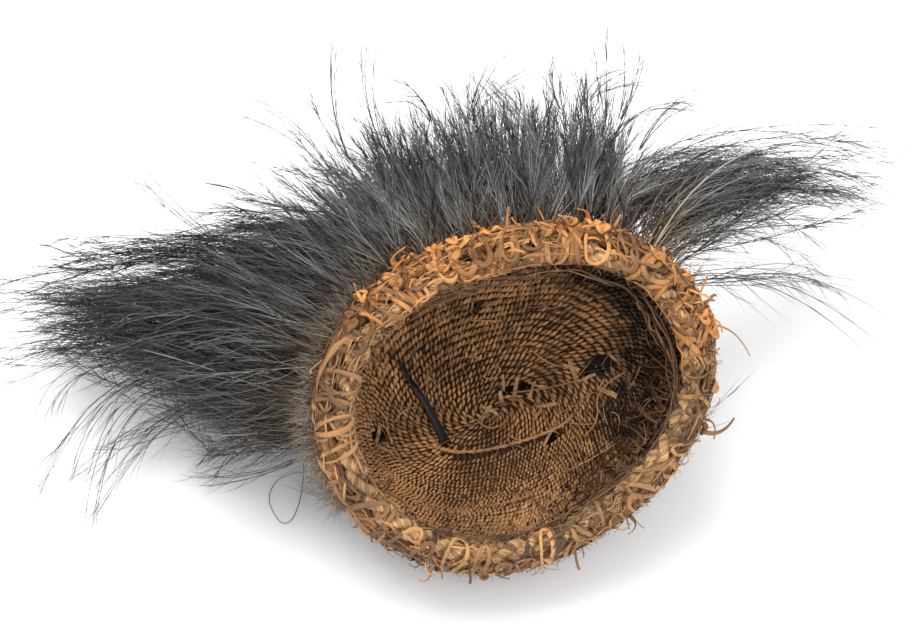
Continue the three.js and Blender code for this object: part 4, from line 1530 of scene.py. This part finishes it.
# %% Broken yarns
dice = np.random.default_rng(81)
PIECES, PIECE_POINTS = 110, 26
steps = np.linspace(0, 1, PIECE_POINTS)
theta = dice.uniform(-np.pi, np.pi, (PIECES, 1)) + dice.uniform(0.2, 0.9, (PIECES, 1)) * steps
depth = dice.uniform(0, 1, (PIECES, 1)) ** 1.2
torn_band = between(half_turn(np.degrees(theta)), 20, 138, 40)
sink = 18.0 - 1.8 * dice.uniform(0, 1, (PIECES, 1)) + torn_band * (1.6 + 11.0 * depth)
sink = sink + ragged(theta.shape, 0.9, dice)
drop = -2.5 - 11.0 * depth + ragged(theta.shape, 1.4, dice)
under_lines = to_room(polar(rim_reach(theta) - sink, theta, drop))
taper = np.interp(steps, [0, 0.15, 0.85, 1], [0.35, 1, 1, 0.25])
under_rings = tubes(under_lines, dice.uniform(0.3, 0.85, (PIECES, 1)) * taper, 5)
under_rim = strand_mesh("under_rim", under_rings, dice.uniform(0.05, 0.5, PIECES), along=0.5)

# %% Whole yarns behind them
PACKED = 8
round_rim = round_turn(160)
packing = []
for part in np.linspace(0, 1, PACKED):
    lift = -0.6 - 13.4 * part + 0.3 * np.sin(5 * round_rim + 9 * part)
    packing.append(polar(rim_reach(round_rim) - (15.4 - 2.6 * part), round_rim, lift))
packing_rings = loop_tubes(to_room(np.array(packing)), 1.5, 6)
# Rows deeper under the rim get darker tones: painted shade.
packing_shade_tones = np.linspace(0.35, 0.1, PACKED)
rim_packing = strand_mesh("rim_packing", packing_rings, packing_shade_tones, along=0.5, looped=True)

# %% [markdown]
# ## Loose fibres
# Old plant cord sheds. Pale fibres curl inside the cap, brown ones hang from under the rim, and a
# few long ones cross it. A twisted pair of yarns forms the lip of the crease. They are what makes
# the surface look soft and worn.

# %% Curls
CURLS = 280
theta = dice.uniform(0, 2 * np.pi, CURLS)
along = dice.uniform(0.05, 0.97, CURLS)
root = wall_point(theta, along, -3.6)
inward = -wall_normal(theta, along)
sideways = unit(np.cross(inward, unit(dice.normal(0, 1, (CURLS, 3)))))
long = dice.uniform(6, 24, (CURLS, 1))
tip = root + sideways * long + inward * dice.uniform(0.4, 3.5, (CURLS, 1))
bend = (root + tip) / 2 + inward * dice.uniform(1, 5, (CURLS, 1))
bend = bend + np.cross(inward, sideways) * dice.normal(0, 4, (CURLS, 1))
curl_rings = tubes(to_room(bowed(root, bend, tip, 9)), dice.uniform(0.16, 0.5, (CURLS, 1)), 4)
curls = strand_mesh("curls", curl_rings, dice.uniform(0.2, 1, CURLS), along=np.linspace(0.3, 0.7, 9))

# %% Hanging fibres
HANGING = 230
on_right = dice.uniform(0, 1, HANGING) < 0.7
theta = np.radians(np.where(on_right, dice.uniform(-60, 62, HANGING), dice.uniform(0, 360, HANGING)))
root = wall_point(theta, 0.02, -8.0)
end_along = dice.uniform(0.12, 0.55, HANGING)
tip = wall_point(theta + dice.normal(0, 0.09, HANGING), end_along, -4.5 - dice.uniform(0, 4, HANGING))
bend = (root + tip) / 2 - wall_normal(theta, 0.2) * dice.uniform(-1, 4, (HANGING, 1))
bend = bend + dice.normal(0, 3.5, (HANGING, 3))
hanging_rings = tubes(to_room(bowed(root, bend, tip, 9)), dice.uniform(0.15, 0.6, (HANGING, 1)), 4)
hanging = strand_mesh(
    "hanging", hanging_rings, dice.uniform(0, 0.42, HANGING), along=np.linspace(0.3, 0.8, 9),
)

# %% Lip of the crease
crease_theta = np.linspace(CREASE[0] - 6, CREASE[1] + 10, 60)
crease_rows = []
for phase in (0, np.pi):
    twist = crease_theta * 0.55 + phase
    own = crease_length(crease_theta) + 2.0 + 0.55 * np.sin(twist)
    share = np.interp(own, table_length, table_along)
    crease_rows.append(wall_point(np.radians(crease_theta), share, -5.0 + 0.55 * np.cos(twist)))
lip_rings = tubes(to_room(np.array(crease_rows)), 0.62, 5)
lip = strand_mesh("crease_lip", lip_rings, np.array([0.95, 0.8]), along=0.4, end="flat")

# %% Long pale fibres, and all of these as one piece
ARCS = [  # starts, bends and ends, as degrees, shares down the wall, and how far they stand off
    ((352, 0.60, 3), (338, 0.70, 9), (330, 0.62, 3)), ((322, 0.44, 3), (305, 0.42, 9), (296, 0.52, 3)),
    ((334, 0.66, 3), (326, 0.56, 8), (316, 0.6, 3)), ((300, 0.9, 3), (330, 0.84, 7), (344, 0.76, 3)),
    ((246, 0.86, 3), (262, 0.8, 6), (280, 0.84, 3)), ((40, 0.3, 3), (30, 0.45, 9), (12, 0.4, 3)),
    ((280, 0.5, 3), (270, 0.44, 7), (258, 0.5, 3)), ((212, 0.34, 3), (222, 0.4, 7), (230, 0.3, 3)),
]
arc_rows = [[wall_point(math.radians(d), s, -3.0 - lift) for d, s, lift in row] for row in ARCS]
arc_rings = tubes(to_room(bezier(arc_rows, 20)), 0.42, 5)
arcs = strand_mesh("arcs", arc_rings, dice.uniform(0.7, 1, len(ARCS)), along=np.linspace(0.3, 0.7, 20))
finish(together("inner_fibres", [under_rim, rim_packing, curls, hanging, lip, arcs]), cord_brown, "cloth")

# %% [markdown]
# ## Fuzz
# A fine fuzz stands on the rim, because dry plant fibre splits as it wears. Each hair is a tenth of
# a millimetre thick, which is too thin to see alone. Thousands soften the edge.

# %% Fuzz on the rim
FUZZ = 3200
dice = np.random.default_rng(91)
theta = dice.uniform(0, 2 * np.pi, FUZZ)
root, way = on_rim(theta, dice.uniform(-0.1, 0.62, FUZZ), 0.0)
long = dice.uniform(1.5, 6.5, (FUZZ, 1))
grow = way * 0.9 + along_rim(theta) * dice.normal(0, 1.2, (FUZZ, 1))
grow = unit(grow + dice.normal(0, 0.4, (FUZZ, 3)))
bend = root + grow * long * 0.5
tip = bend + unit(grow + dice.normal(0, 0.8, (FUZZ, 3))) * long * 0.6
fuzz_thick = dice.uniform(0.07, 0.16, (FUZZ, 1))
fuzz = hairs("rim_fuzz", to_room(bowed(root, bend, tip, 5)), fuzz_thick, dice.uniform(0.1, 1, FUZZ))
finish(fuzz, cord_pale, "cord")

# %% [markdown]
# ## The last look
# Every piece that shows has its triangles counted. The dressed model may stand only a
# little outside the plain one.

# %% Sizes, and the end
shown = [o for o in bpy.data.objects if o.type == "MESH" and not o.hide_render]
triangles = {o.name: sum(len(f.vertices) - 2 for f in o.data.polygons) for o in shown}
print("triangles:", sum(triangles.values()), "the most in one piece:", max(triangles.values()))
